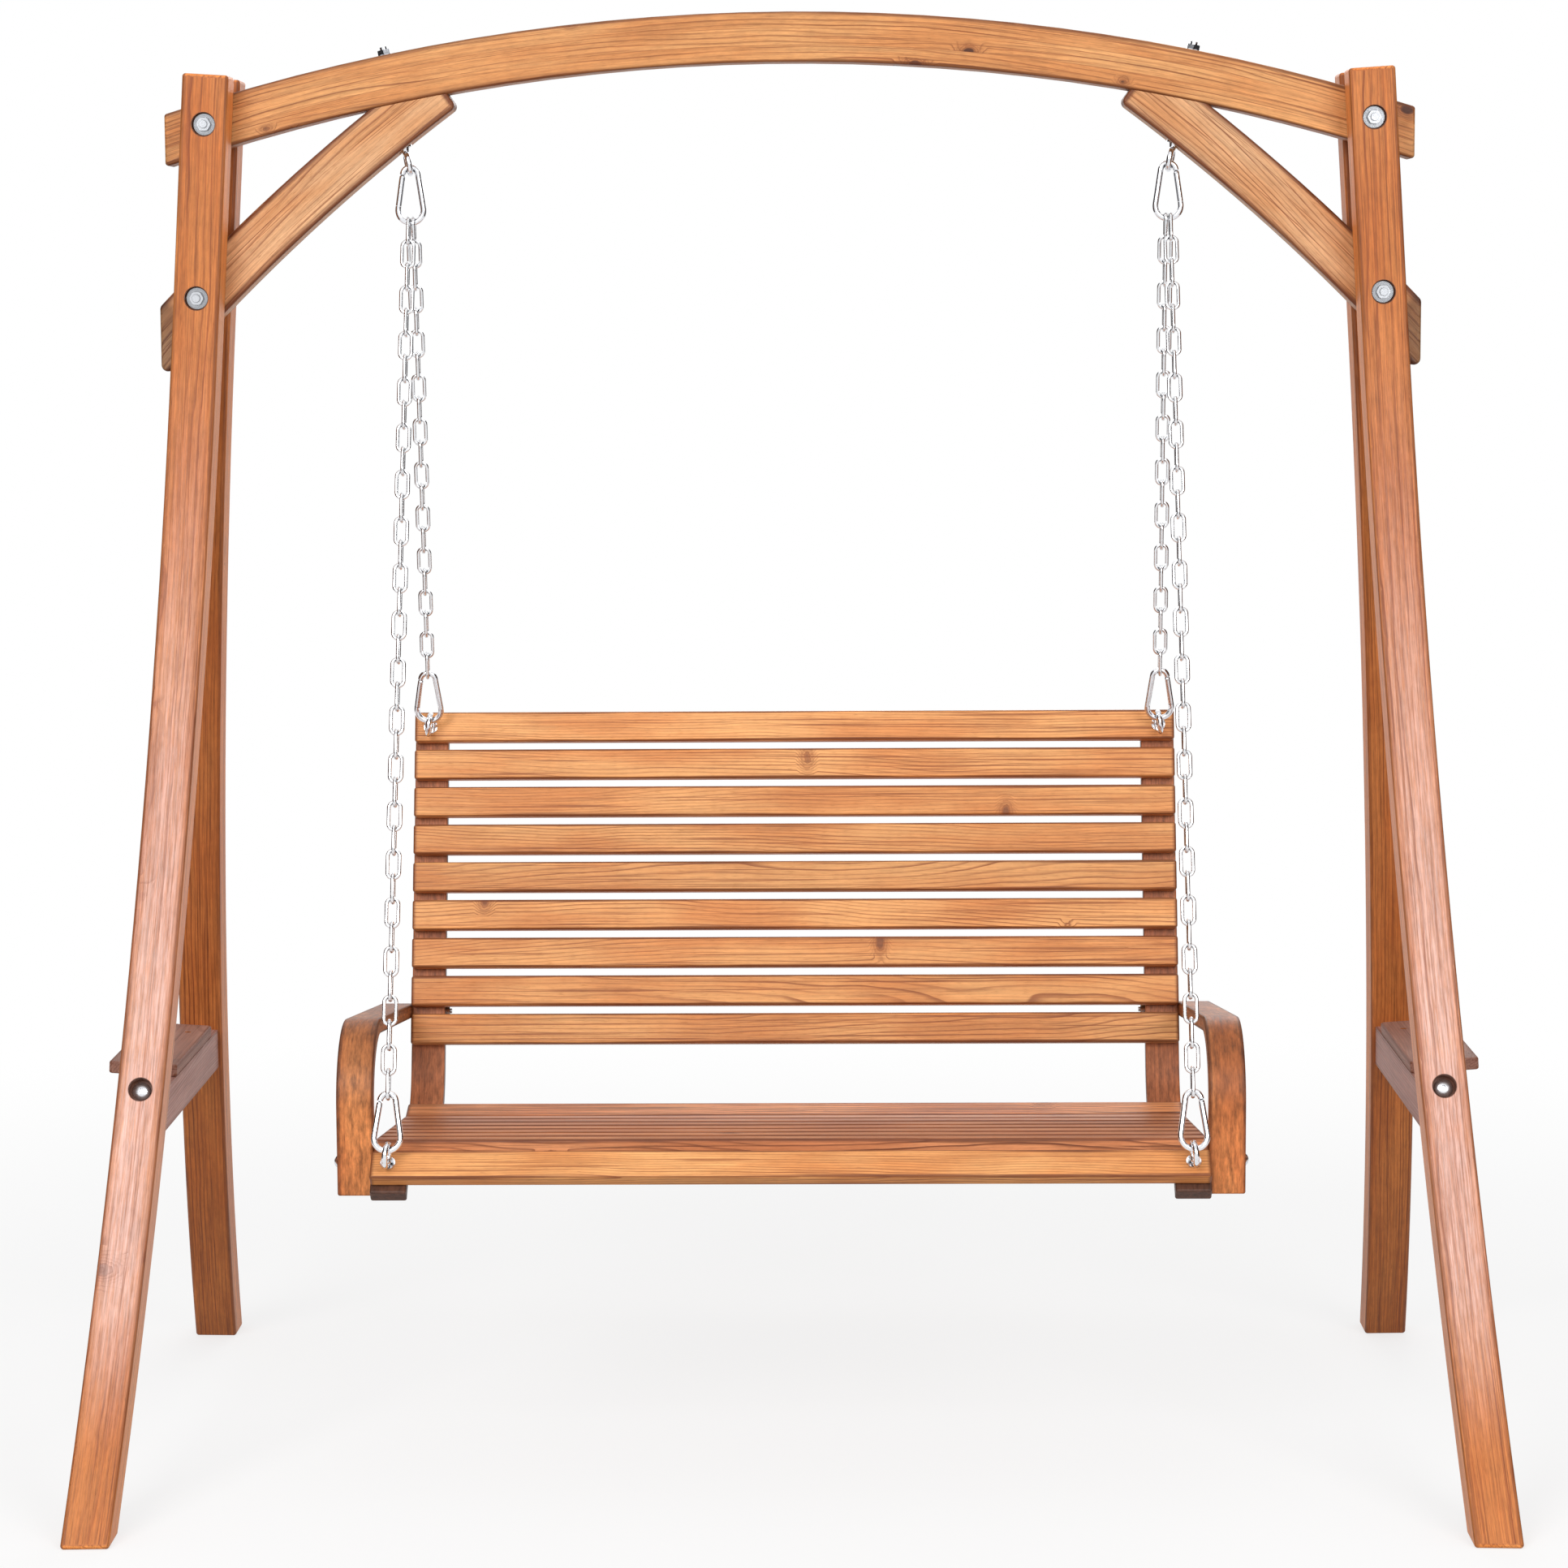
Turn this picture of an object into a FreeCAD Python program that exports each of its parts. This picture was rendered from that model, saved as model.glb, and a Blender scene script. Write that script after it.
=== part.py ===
import FreeCAD
import Part
import math
import os

# A garden swing bench: an arched timber frame with a slatted bench hung on four chains.
# Millimetres, +X to the right, +Y to the back, +Z up, origin on the ground under the middle.

V = FreeCAD.Vector

# Side frames: a front and a rear leg in one plane that leans inward towards the top
FOOT_SPACING = 1816.0
LEAN = 3.6
LEG_LENGTH = 1905.0
LEG_STRAIGHT = 316.0
LEG_BEND_RADIUS = 2790.0
LEG_WIDTH = 63.0
LEG_DEPTH = 56.0
FOOT_TRIM = 60.0

# Arched top beam and corner braces, cut from one bent stock
BEAM_TOP_Z = 1984.0
BEAM_TOP_RADIUS = 2805.0
BEAM_HEIGHT = 68.0
BEAM_DEPTH = 50.0
BEAM_OVERHANG = 31.0
BRACE_HEIGHT = 70.0
BRACE_BOLT_DROP = 235.0
BRACE_ANGLE = 45.3
BRACE_RISE_LENGTH = 440.0
BRACE_TAIL_OUT = 28.0

# Stretchers between the legs, with a flat board on each
STRETCHER_TOP = 536.0
STRETCHER_HEIGHT = 60.0
STRETCHER_WIDTH = 50.0
BOARD_WIDTH = 94.0
BOARD_THICK = 17.0
BOARD_FRONT_GAP = 90.0
BOARD_REAR_GAP = 58.0
BOARD_CORNER = 6.0

TIMBER_EDGE = 4.5

# Frame fasteners
BOLT_DIA = 10.0
HEX_FLATS = 17.0
NUT_HEIGHT = 8.0
HEAD_HEIGHT = 6.4
BOLT_STICK_OUT = 3.0
WASHER_DIA = 29.0
WASHER_THICK = 2.5
COUNTERBORE_DIA = 32.0
NUT_POCKET = 11.0
HEAD_POCKET = 10.0
DOME_DIA = 24.0
DOME_RIM = 2.5
DOME_HEIGHT = 7.0
DOME_SUNK = 16.0
BARREL_NUT_DIA = 14.0
BARREL_NUT_LENGTH = 32.0
BARREL_NUT_INSET = 54.0
BARREL_NUT_TAIL = 14.0

# Bench: bent side rails, arms and slats
BENCH_SIDE_GAP = 377.0
RAIL_WIDTH = 48.0
RAIL_THICK = 20.0
SEAT_CORNER_Y = 112.5
SEAT_CORNER_Z = 414.0
SEAT_TILT = 6.6
BACK_RECLINE = 16.1
REAR_BEND_RADIUS = 95.0
FRONT_BEND_RADIUS = 36.0
FRONT_SLOPE = 42.0
BACK_START = 35.0
BACK_COUNT = 9
SEAT_COUNT = 7
SLAT_WIDTH = 44.0
SLAT_THICK = 20.0
SLAT_GAP = 11.4
SLAT_EDGE = 4.0
SLAT_INSET = 0.5
FRONT_LAP = 9.5
BEND_SLAT_ARC = 35.0
POST_BELOW_SLAT = 4.0
RAIL_PAST_SLAT = 10.0
RAIL_EDGE = 3.0

ARM_WIDTH = 49.0
ARM_THICK = 20.0
ARM_BEND_RADIUS = 95.0
ARM_RISE = 165.0
ARM_SLOPE = 7.0
ARM_DROP = 45.0
ARM_PAST_POST = 16.0
ARM_BOLT_BACK = 3.0
ARM_BOLT_DIA = 8.0
ARM_BOLT_HEAD_DIA = 17.0
ARM_BOLT_HEAD = 4.5
ARM_NUT_FLATS = 13.0
ARM_NUT_HEIGHT = 6.5
ARM_BOLT_STICK_OUT = 3.0

SCREW_DIA = 4.5
SCREW_HEAD_DIA = 9.0
SCREW_HEAD_HEIGHT = 2.6
SCREW_BITE = 14.0

# Eye bolts
EYE_RADIUS = 14.0
EYE_WIRE = 8.0
EYE_COLLAR_DIA = 20.0
EYE_COLLAR = 3.0
EYE_SUNK = 2.0
UPPER_EYE_INSET = 10.0
UPPER_EYE_DIA = 10.0
UPPER_EYE_TWIST = 10.0
UPPER_EYE_NECK = 6.0
SEAT_EYE_DIA = 8.0
SEAT_EYE_TWIST = 8.0
SEAT_EYE_NECK = 0.0
FLANGE_THICK = 2.0
UPPER_FLANGE_DIA = 22.0
SEAT_NUT_FLATS = 13.0
SEAT_NUT_HEIGHT = 7.0
SEAT_FLANGE_DIA = 18.0
EYE_STICK_OUT = 4.0

# Snap hooks
HOOK_WIRE = 8.0
HOOK_SMALL_RADIUS = 10.5
HOOK_LARGE_RADIUS = 17.5
HOOK_CENTRES = 48.0
GATE_PIN_DOWN = 5.0
GATE_PIN_DIA = 2.5
GATE_PIN_LENGTH = 7.0
GATE_REACH = 39.0
GATE_NOSE_GAP = 0.5
TONGUE_THICK = 2.6
TONGUE_WIDTH = 6.6
FORK_SIDE_GAP = 0.3
HINGE_SHOULDER_GAP = 0.4

# Chains
CHAIN_WIRE = 5.0
CHAIN_PITCH = 33.2
CHAIN_WIDTH = 21.0
CHAIN_SIDE_STEP = 3.4

# Clearances
HOLE_FIT = 0.2
PIN_FIT = 0.05
LOAD_GAP = 0.3
SWING_GAP = 0.5
SEAT_GAP = 0.05

# Densities in grams per cubic millimetre, for the balance of the hanging bench
TIMBER_DENSITY = 0.00055
STEEL_DENSITY = 0.00785

LEFT = -1
RIGHT = 1
SIDES = ((LEFT, "left"), (RIGHT, "right"))

nodes = {}


def turn(vector, degrees):
    angle = math.radians(degrees)
    a, b = vector
    return (a * math.cos(angle) - b * math.sin(angle), a * math.sin(angle) + b * math.cos(angle))


def heading_vector(degrees):
    return turn((1.0, 0.0), degrees)


class Path:
    """Straights and bends in a plane; a bend turns left when its angle is positive."""

    def __init__(self, start, heading):
        self.runs = []
        self.end = start
        self.heading = heading
        self.length = 0.0

    def straight(self, length):
        along = heading_vector(self.heading)
        finish = (self.end[0] + along[0] * length, self.end[1] + along[1] * length)
        self.runs.append((self.length, length, self.end, self.heading, 0.0, 0.0))
        self.end = finish
        self.length += length
        return self

    def bend(self, radius, degrees):
        length = radius * abs(math.radians(degrees))
        self.runs.append((self.length, length, self.end, self.heading, radius, degrees))
        self.end = self._on_bend(self.end, self.heading, radius, degrees)
        self.heading += degrees
        self.length += length
        return self

    @staticmethod
    def _on_bend(start, heading, radius, degrees):
        side = math.copysign(90.0, degrees)
        to_centre = heading_vector(heading + side)
        centre = (start[0] + to_centre[0] * radius, start[1] + to_centre[1] * radius)
        out = turn((-to_centre[0] * radius, -to_centre[1] * radius), degrees)
        return (centre[0] + out[0], centre[1] + out[1])

    def at(self, distance):
        """Point and heading at a distance along the path."""
        for begin, length, start, heading, radius, degrees in self.runs:
            if distance <= begin + length + 1e-9:
                break
        into = distance - begin
        if radius == 0.0:
            along = heading_vector(heading)
            return (start[0] + along[0] * into, start[1] + along[1] * into), heading
        swept = degrees * into / length
        return self._on_bend(start, heading, radius, swept), heading + swept

    def offset_edges(self, left, place):
        """Edges of the line that runs beside the path, at a distance to its left."""
        edges = []
        for begin, length, start, heading, radius, degrees in self.runs:
            points = [self._beside(begin + length * share, left) for share in (0.0, 0.5, 1.0)]
            first, middle, last = [place(*point) for point in points]
            if radius == 0.0:
                edges.append(Part.LineSegment(first, last).toShape())
            else:
                edges.append(Part.Arc(first, middle, last).toShape())
        return edges

    def _beside(self, distance, left):
        point, heading = self.at(distance)
        normal = heading_vector(heading + 90.0)
        return (point[0] + normal[0] * left, point[1] + normal[1] * left)


def side_plane(a, b):
    return V(0, a, b)


def front_plane(a, b):
    return V(a, 0, b)


def strip(path, left, right, width, place):
    """A bent board: the band between two lines beside a path, as wide as given across its plane."""
    near = path.offset_edges(left, place)
    far = path.offset_edges(right, place)
    across = V(1, 0, 0) if place is side_plane else V(0, 1, 0)
    caps = []
    for share in (0.0, path.length):
        ends = [place(*path._beside(share, left)), place(*path._beside(share, right))]
        caps.append(Part.LineSegment(*ends).toShape())
    wire = Part.Wire(Part.__sortEdges__(near + far + caps))
    return Part.Face(wire).translated(across * (-width / 2)).extrude(across * width)


def rounded(shape, radius):
    return shape.makeFillet(radius, shape.Edges)


def rounded_outline(shape, across, corner, radius):
    """Rounds the corners that run across a board first, then the outlines of its two faces."""
    corners = [edge for edge in shape.Edges if abs(edge.tangentAt(edge.FirstParameter).dot(across)) > 0.99]
    shape = shape.makeFillet(corner, corners)
    rims = []
    for edge in shape.Edges:
        if abs(edge.CenterOfMass.dot(across)) > shape.BoundBox.DiagonalLength * 1e-6:
            rims.append(edge)
    return shape.makeFillet(radius, rims)


def rod(dia, start, finish):
    axis = finish - start
    return Part.makeCylinder(dia / 2, axis.Length, start, axis)


def block(x0, x1, y0, y1, z0, z1):
    return Part.makeBox(x1 - x0, y1 - y0, z1 - z0, V(x0, y0, z0))


def placed(shape, base, x_axis, z_axis):
    """A copy with its own X and Z turned to the given directions, moved to base."""
    copy = shape.copy()
    rotation = FreeCAD.Rotation(x_axis, z_axis.cross(x_axis), z_axis, "ZXY")
    copy.Placement = FreeCAD.Placement(base, rotation)
    return copy


def hexagon(flats, height):
    corner = flats / math.sqrt(3)
    points = [V(*turn((corner, 0.0), 60.0 * k), 0) for k in range(7)]
    return Part.Face(Part.makePolygon(points)).extrude(V(0, 0, height))


def chamfered_hexagon(flats, height):
    """A hexagon whose corners are turned off at the top, as on a nut or a bolt head."""
    corner = flats / math.sqrt(3)
    cone_height = corner + height
    cone = Part.makeCone(corner + height * 1.6, corner - corner * 0.06, cone_height, V(0, 0, height - cone_height))
    return hexagon(flats, height).common(cone)


def nut(flats, height, bore, flange_dia, flange):
    body = chamfered_hexagon(flats, height)
    if flange_dia:
        body = body.fuse(Part.makeCone(flange_dia / 2, flats / 2 * 1.02, flange)).removeSplitter()
    return body.cut(Part.makeCylinder(bore / 2, height * 3, V(0, 0, -height)))


def ring(outer, bore, thick):
    return Part.makeCylinder(outer / 2, thick).cut(Part.makeCylinder(bore / 2, thick * 3, V(0, 0, -thick)))


def group(shapes):
    return Part.makeCompound(list(shapes))


def add(name, *shapes):
    nodes[name] = shapes[0] if len(shapes) == 1 else group(shapes)


# Where the side frames stand and how they lean

BEAM_CENTRE_Z = BEAM_TOP_Z - BEAM_TOP_RADIUS
BEAM_MID_RADIUS = BEAM_TOP_RADIUS - BEAM_HEIGHT / 2
BEAM_LOW_RADIUS = BEAM_TOP_RADIUS - BEAM_HEIGHT
LEG_MID_Y = BEAM_DEPTH / 2 + LEG_DEPTH / 2
BEND_START_UP = LEG_LENGTH - LEG_STRAIGHT
BOLT_HOLE = BOLT_DIA + 2 * HOLE_FIT
STACK = BEAM_DEPTH / 2 + LEG_DEPTH
RAIL_X = FOOT_SPACING / 2 - BENCH_SIDE_GAP
UPPER_EYE_X = RAIL_X - UPPER_EYE_INSET


def side_lean(side):
    """Where an upright side frame goes: out to its foot spacing and leaned inward."""
    rotation = FreeCAD.Rotation(V(0, 1, 0), -side * LEAN)
    return FreeCAD.Placement(V(side * FOOT_SPACING / 2, 0, 0), rotation)


def leaned(shape, side):
    copy = shape.copy()
    copy.Placement = side_lean(side).multiply(copy.Placement)
    return copy


def leg_axis_x(up):
    return FOOT_SPACING / 2 - up * math.sin(math.radians(LEAN))


def leg_axis_z(up):
    return up * math.cos(math.radians(LEAN))


def beam_bolt_up():
    """Distance up the leg at which its middle crosses the middle line of the beam."""
    half = FOOT_SPACING / 2 * math.sin(math.radians(LEAN)) + BEAM_CENTRE_Z * math.cos(math.radians(LEAN))
    rest = (FOOT_SPACING / 2) ** 2 + BEAM_CENTRE_Z ** 2 - BEAM_MID_RADIUS ** 2
    return half + math.sqrt(half ** 2 - rest)


BRACE_BOLT_UP = beam_bolt_up() - BRACE_BOLT_DROP
BOLT_UPS = (beam_bolt_up(), BRACE_BOLT_UP)
STRETCHER_MID_UP = STRETCHER_TOP - STRETCHER_HEIGHT / 2


def leg_face_y(up, radius):
    """How far a leg's bent face lies from the middle plane at a height in the leaning plane."""
    drop = max(BEND_START_UP - up, 0.0)
    return LEG_MID_Y + LEG_BEND_RADIUS - math.sqrt(radius ** 2 - drop ** 2)


OUTER_FACE_RADIUS = LEG_BEND_RADIUS - LEG_DEPTH / 2
INNER_FACE_RADIUS = LEG_BEND_RADIUS + LEG_DEPTH / 2
STRETCHER_FACE_Y = leg_face_y(STRETCHER_MID_UP, OUTER_FACE_RADIUS)
STRETCHER_END_Y = leg_face_y(STRETCHER_MID_UP, INNER_FACE_RADIUS)


def stretcher_bolt_line(front):
    """The middle of a barrel nut, the bolt's way out from it square to the bent leg, and how far out its head sits."""
    middle = V(0, front * (STRETCHER_END_Y - BARREL_NUT_INSET), STRETCHER_MID_UP)
    reach = V(0, front * (LEG_MID_Y + LEG_BEND_RADIUS), BEND_START_UP) - middle
    return middle, reach * (1.0 / reach.Length), reach.Length - OUTER_FACE_RADIUS - DOME_SUNK


def upright_leg(front, side):
    """A leg before it is leaned: front is -1 for a front leg and 1 for a rear leg."""
    leg = rounded(solid_leg(front).cut(ground_below(side)), TIMBER_EDGE)
    pocket = NUT_POCKET if front < 0 else HEAD_POCKET
    cuts = []
    for up in BOLT_UPS:
        cuts.append(rod(BOLT_HOLE, V(0, -STACK * 2, up), V(0, STACK * 2, up)))
        cuts.append(rod(COUNTERBORE_DIA, V(0, front * (STACK - pocket), up), V(0, front * STACK * 2, up)))
    middle, out, seat = stretcher_bolt_line(front)
    cuts.append(rod(COUNTERBORE_DIA, middle + out * seat, middle + out * (seat + STACK)))
    cuts.append(rod(BOLT_HOLE, middle, middle + out * seat))
    return leg.cut(cuts)


def ground_below(side):
    """The ground as it lies under an upright side, so that the foot is level once the side is leaned."""
    wide = FOOT_SPACING
    ground = block(-wide, wide, -wide, wide, -wide, 0)
    ground.Placement = side_lean(side).inverse()
    return ground


def side_frame(side, name):
    """The legs, stretcher and board of one side, with the fasteners of the stretcher."""
    fronts = ((-1, "front"), (1, "rear"))
    for front, word in fronts:
        add("leg_%s_%s" % (word, name), leaned(upright_leg(front, side), side))

    half = STRETCHER_WIDTH / 2
    bar = block(-half, half, -STRETCHER_FACE_Y, STRETCHER_FACE_Y, STRETCHER_TOP - STRETCHER_HEIGHT, STRETCHER_TOP)
    for front, _ in fronts:
        bar = bar.cut(solid_leg(front))
    bar = max(bar.Solids, key=lambda solid: solid.Volume)

    board = stretcher_board(side)
    bolts, barrels, screws, bar_cuts = [], [], [], []
    for front, _ in fronts:
        bolts.append(leaned(stretcher_bolt(front), side))
        barrels.append(leaned(barrel_nut(side, front), side))
        middle, out, seat = stretcher_bolt_line(front)
        bar_cuts.append(rod(BOLT_HOLE, middle - out * BARREL_NUT_TAIL, middle + out * seat))
        bar_cuts.append(barrel_pocket(side, middle))
    length = board.BoundBox.YLength
    for share in (0.2, 0.8):
        head = V(0, board.BoundBox.YMin + length * share, STRETCHER_TOP + BOARD_THICK)
        screws.append(leaned(placed(countersunk_screw(0.0), head, V(1, 0, 0), V(0, 0, 1)), side))
        hole = placed(countersunk_screw(HOLE_FIT), head, V(1, 0, 0), V(0, 0, 1))
        board = board.cut(hole)
        bar_cuts.append(hole)
    add("stretcher_%s" % name, leaned(bar.cut(bar_cuts), side))
    add("stretcher_board_%s" % name, leaned(board, side))
    return bolts, barrels, screws


def solid_leg(front):
    """The plain bent blank of a leg, which also shapes a stretcher's end."""
    swept = math.degrees(math.asin((BEND_START_UP + FOOT_TRIM) / LEG_BEND_RADIUS))
    path = Path((front * LEG_MID_Y, LEG_LENGTH), -90.0)
    path.straight(LEG_STRAIGHT).bend(LEG_BEND_RADIUS, front * swept)
    return strip(path, LEG_DEPTH / 2, -LEG_DEPTH / 2, LEG_WIDTH, side_plane)


def stretcher_board(side):
    """A flat board with rounded corners, flush with the inner side of its stretcher and clear of both legs."""
    reach = leg_face_y(STRETCHER_TOP, INNER_FACE_RADIUS)
    front_y, rear_y = BOARD_FRONT_GAP - reach, reach - BOARD_REAR_GAP
    near, far = sorted((-side * STRETCHER_WIDTH / 2, side * (BOARD_WIDTH - STRETCHER_WIDTH / 2)))
    board = block(near, far, front_y, rear_y, STRETCHER_TOP, STRETCHER_TOP + BOARD_THICK)
    upright = [edge for edge in board.Edges if abs(edge.tangentAt(edge.FirstParameter).z) > 0.9]
    board = board.makeFillet(BOARD_CORNER, upright)
    rim = [edge for edge in board.Edges if abs(edge.BoundBox.ZLength) < 1e-6]
    return board.makeFillet(BOARD_THICK / 6, rim)


def stretcher_bolt(front):
    """A domed bolt through a leg into its barrel nut, with its head in a deep pocket."""
    middle, out, seat = stretcher_bolt_line(front)
    sphere = (DOME_DIA ** 2 / 4 + (DOME_HEIGHT - DOME_RIM) ** 2) / (2 * (DOME_HEIGHT - DOME_RIM))
    ball = Part.makeSphere(sphere, V(0, 0, DOME_HEIGHT - sphere))
    head = Part.makeCylinder(DOME_DIA / 2, DOME_HEIGHT).common(ball)
    recess = hexagon(DOME_DIA / 4, DOME_HEIGHT).translated(V(0, 0, DOME_RIM))
    head = placed(head.cut(recess), middle + out * seat, V(1, 0, 0), out)
    tip = middle - out * (BARREL_NUT_TAIL - BOLT_STICK_OUT)
    return head.fuse(rod(BOLT_DIA, middle + out * seat, tip)).removeSplitter()


def barrel_nut(side, front):
    middle, out, _ = stretcher_bolt_line(front)
    start = middle + V(side * (STRETCHER_WIDTH / 2 - 2 * BOLT_STICK_OUT), 0, 0)
    body = rod(BARREL_NUT_DIA, start, start - V(side * BARREL_NUT_LENGTH, 0, 0))
    return body.cut(rod(BOLT_HOLE, middle - out * BARREL_NUT_DIA, middle + out * BARREL_NUT_DIA))


def barrel_pocket(side, middle):
    """A blind hole from the outer face of the stretcher, deep enough for the barrel nut."""
    depth = STRETCHER_WIDTH / 2 - 2 * BOLT_STICK_OUT - BARREL_NUT_LENGTH - HOLE_FIT
    return rod(BARREL_NUT_DIA + 2 * HOLE_FIT, middle + V(side * STRETCHER_WIDTH, 0, 0), middle + V(side * depth, 0, 0))


def countersunk_screw(grow):
    """A wood screw with its head flush at the origin, pointing down."""
    head = SCREW_HEAD_DIA / 2 + grow
    shank = SCREW_DIA / 2 + grow
    length = BOARD_THICK + 2 * SCREW_BITE + grow
    cone = Part.makeCone(shank, head, SCREW_HEAD_HEIGHT, V(0, 0, -SCREW_HEAD_HEIGHT - SEAT_GAP))
    lid = Part.makeCylinder(head, SEAT_GAP + grow, V(0, 0, -SEAT_GAP))
    body = Part.makeCylinder(shank, length, V(0, 0, -length))
    screw = body.fuse(cone)
    return screw.fuse(lid).removeSplitter() if grow else screw.removeSplitter().cut(lid)


def build_frame():
    bolts, barrels, screws = [], [], []
    for side, name in SIDES:
        for total, made in zip((bolts, barrels, screws), side_frame(side, name)):
            total.extend(made)
    add("stretcher_bolts", *bolts)
    add("stretcher_barrel_nuts", *barrels)
    add("board_screws", *screws)
    build_beam()
    build_braces()
    build_through_bolts()
    build_upper_eyes()


# Beam, braces and the upper eye bolts

def on_arch(radius, degrees):
    """Point of a circle about the arch's centre, at an angle from upright towards +X."""
    angle = math.radians(degrees)
    return V(radius * math.sin(angle), 0, BEAM_CENTRE_Z + radius * math.cos(angle))


def bolt_points(side, up):
    centre = V(side * leg_axis_x(up), 0, leg_axis_z(up))
    return centre + V(0, -STACK, 0), centre + V(0, STACK, 0)


def brace_bolt():
    return V(leg_axis_x(BRACE_BOLT_UP), 0, leg_axis_z(BRACE_BOLT_UP))


def brace_centre():
    """Centre of the right brace's bend, which has the same radius as the middle of the beam."""
    toward = heading_vector(180.0 + 90.0 - BRACE_ANGLE)
    return brace_bolt() + V(toward[0], 0, toward[1]) * BEAM_MID_RADIUS


def eye_height(neck):
    """Distance from the seat of an eye bolt's collar to the middle of its eye."""
    return EYE_COLLAR + neck + EYE_RADIUS + EYE_WIRE / 2 - EYE_SUNK


EYE_DROP = eye_height(UPPER_EYE_NECK) + EYE_RADIUS


def eye_seat_radius(degrees):
    """Distance from the arch's centre at which the eye bolt's collar has a full seat in the brace."""
    centre = brace_centre()
    low = BEAM_MID_RADIUS - BRACE_HEIGHT / 2
    axis = on_arch(1.0, degrees) - on_arch(0.0, degrees)
    back = centre - on_arch(0.0, degrees)
    along = back.dot(axis)
    radius = along + math.sqrt(along ** 2 - back.dot(back) + low ** 2)
    outward = (on_arch(radius, degrees) - centre).normalize()
    slant = math.tan(math.acos(outward.dot(axis)))
    return radius + slant * EYE_COLLAR_DIA / 2


def upper_eye_angle():
    """Lean of the eye bolts, found so that the bottom of each eye hangs where the upper hook does."""
    degrees = math.degrees(math.asin(UPPER_EYE_X / BEAM_LOW_RADIUS))
    for _ in range(20):
        hang = eye_seat_radius(degrees) - EYE_DROP
        degrees = math.degrees(math.asin(UPPER_EYE_X / hang))
    return degrees


EYE_ANGLE = upper_eye_angle()
EYE_SEAT = eye_seat_radius(EYE_ANGLE)


def eye_hole(side):
    hole = UPPER_EYE_DIA + 2 * HOLE_FIT
    return rod(hole, on_arch(EYE_SEAT, side * EYE_ANGLE), on_arch(BEAM_TOP_RADIUS + BEAM_HEIGHT, side * EYE_ANGLE))


def build_beam():
    """The arch with plumb-cut ends that stand a little past the legs."""
    reach = leg_axis_x(BOLT_UPS[0]) + LEG_WIDTH / 2 + BEAM_OVERHANG
    half = math.degrees(math.asin((reach + BEAM_HEIGHT) / BEAM_MID_RADIUS))
    start = on_arch(BEAM_MID_RADIUS, -half)
    path = Path((start.x, start.z), half).bend(BEAM_MID_RADIUS, -2 * half)
    blank = strip(path, BEAM_HEIGHT / 2, -BEAM_HEIGHT / 2, BEAM_DEPTH, front_plane)
    far = BEAM_TOP_RADIUS
    beam = rounded(blank.common(block(-reach, reach, -far, far, -far, far)), TIMBER_EDGE)
    cuts = [rod(BOLT_HOLE, *bolt_points(side, BOLT_UPS[0])) for side, _ in SIDES]
    add("top_beam", beam.cut(cuts + [eye_hole(side) for side, _ in SIDES]))


def build_braces():
    bolt = brace_bolt()
    centre = brace_centre()
    tail = 3 * (BRACE_TAIL_OUT + BRACE_HEIGHT / 2)
    at_bolt = 90.0 - BRACE_ANGLE
    begin = at_bolt - math.degrees(tail / BEAM_MID_RADIUS)
    swept = math.degrees((tail + BRACE_RISE_LENGTH) / BEAM_MID_RADIUS)
    out = heading_vector(begin)
    start = (centre.x + out[0] * BEAM_MID_RADIUS, centre.z + out[1] * BEAM_MID_RADIUS)
    path = Path(start, begin + 90.0).bend(BEAM_MID_RADIUS, swept)
    brace = strip(path, BRACE_HEIGHT / 2, -BRACE_HEIGHT / 2, BEAM_DEPTH, front_plane)
    end_x = bolt.x + LEG_WIDTH / 2 + BRACE_TAIL_OUT
    far = BEAM_MID_RADIUS
    brace = brace.cut(block(end_x, end_x + far, -far, far, -far, far))
    brace = rounded_outline(brace, V(0, 1, 0), 2 * TIMBER_EDGE, TIMBER_EDGE)
    arch = Part.makeCylinder(BEAM_LOW_RADIUS, 2 * BEAM_DEPTH, V(0, -BEAM_DEPTH, BEAM_CENTRE_Z), V(0, 1, 0))
    brace = brace.common(arch)
    spot = rod(EYE_COLLAR_DIA + 2 * HOLE_FIT, on_arch(EYE_SEAT - 2 * EYE_COLLAR_DIA, EYE_ANGLE), on_arch(EYE_SEAT, EYE_ANGLE))
    hole = rod(BOLT_HOLE, *bolt_points(RIGHT, BRACE_BOLT_UP))
    brace = brace.cut([spot, hole, eye_hole(RIGHT)])
    add("brace_right", brace)
    add("brace_left", brace.mirror(V(0, 0, 0), V(1, 0, 0)))


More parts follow.
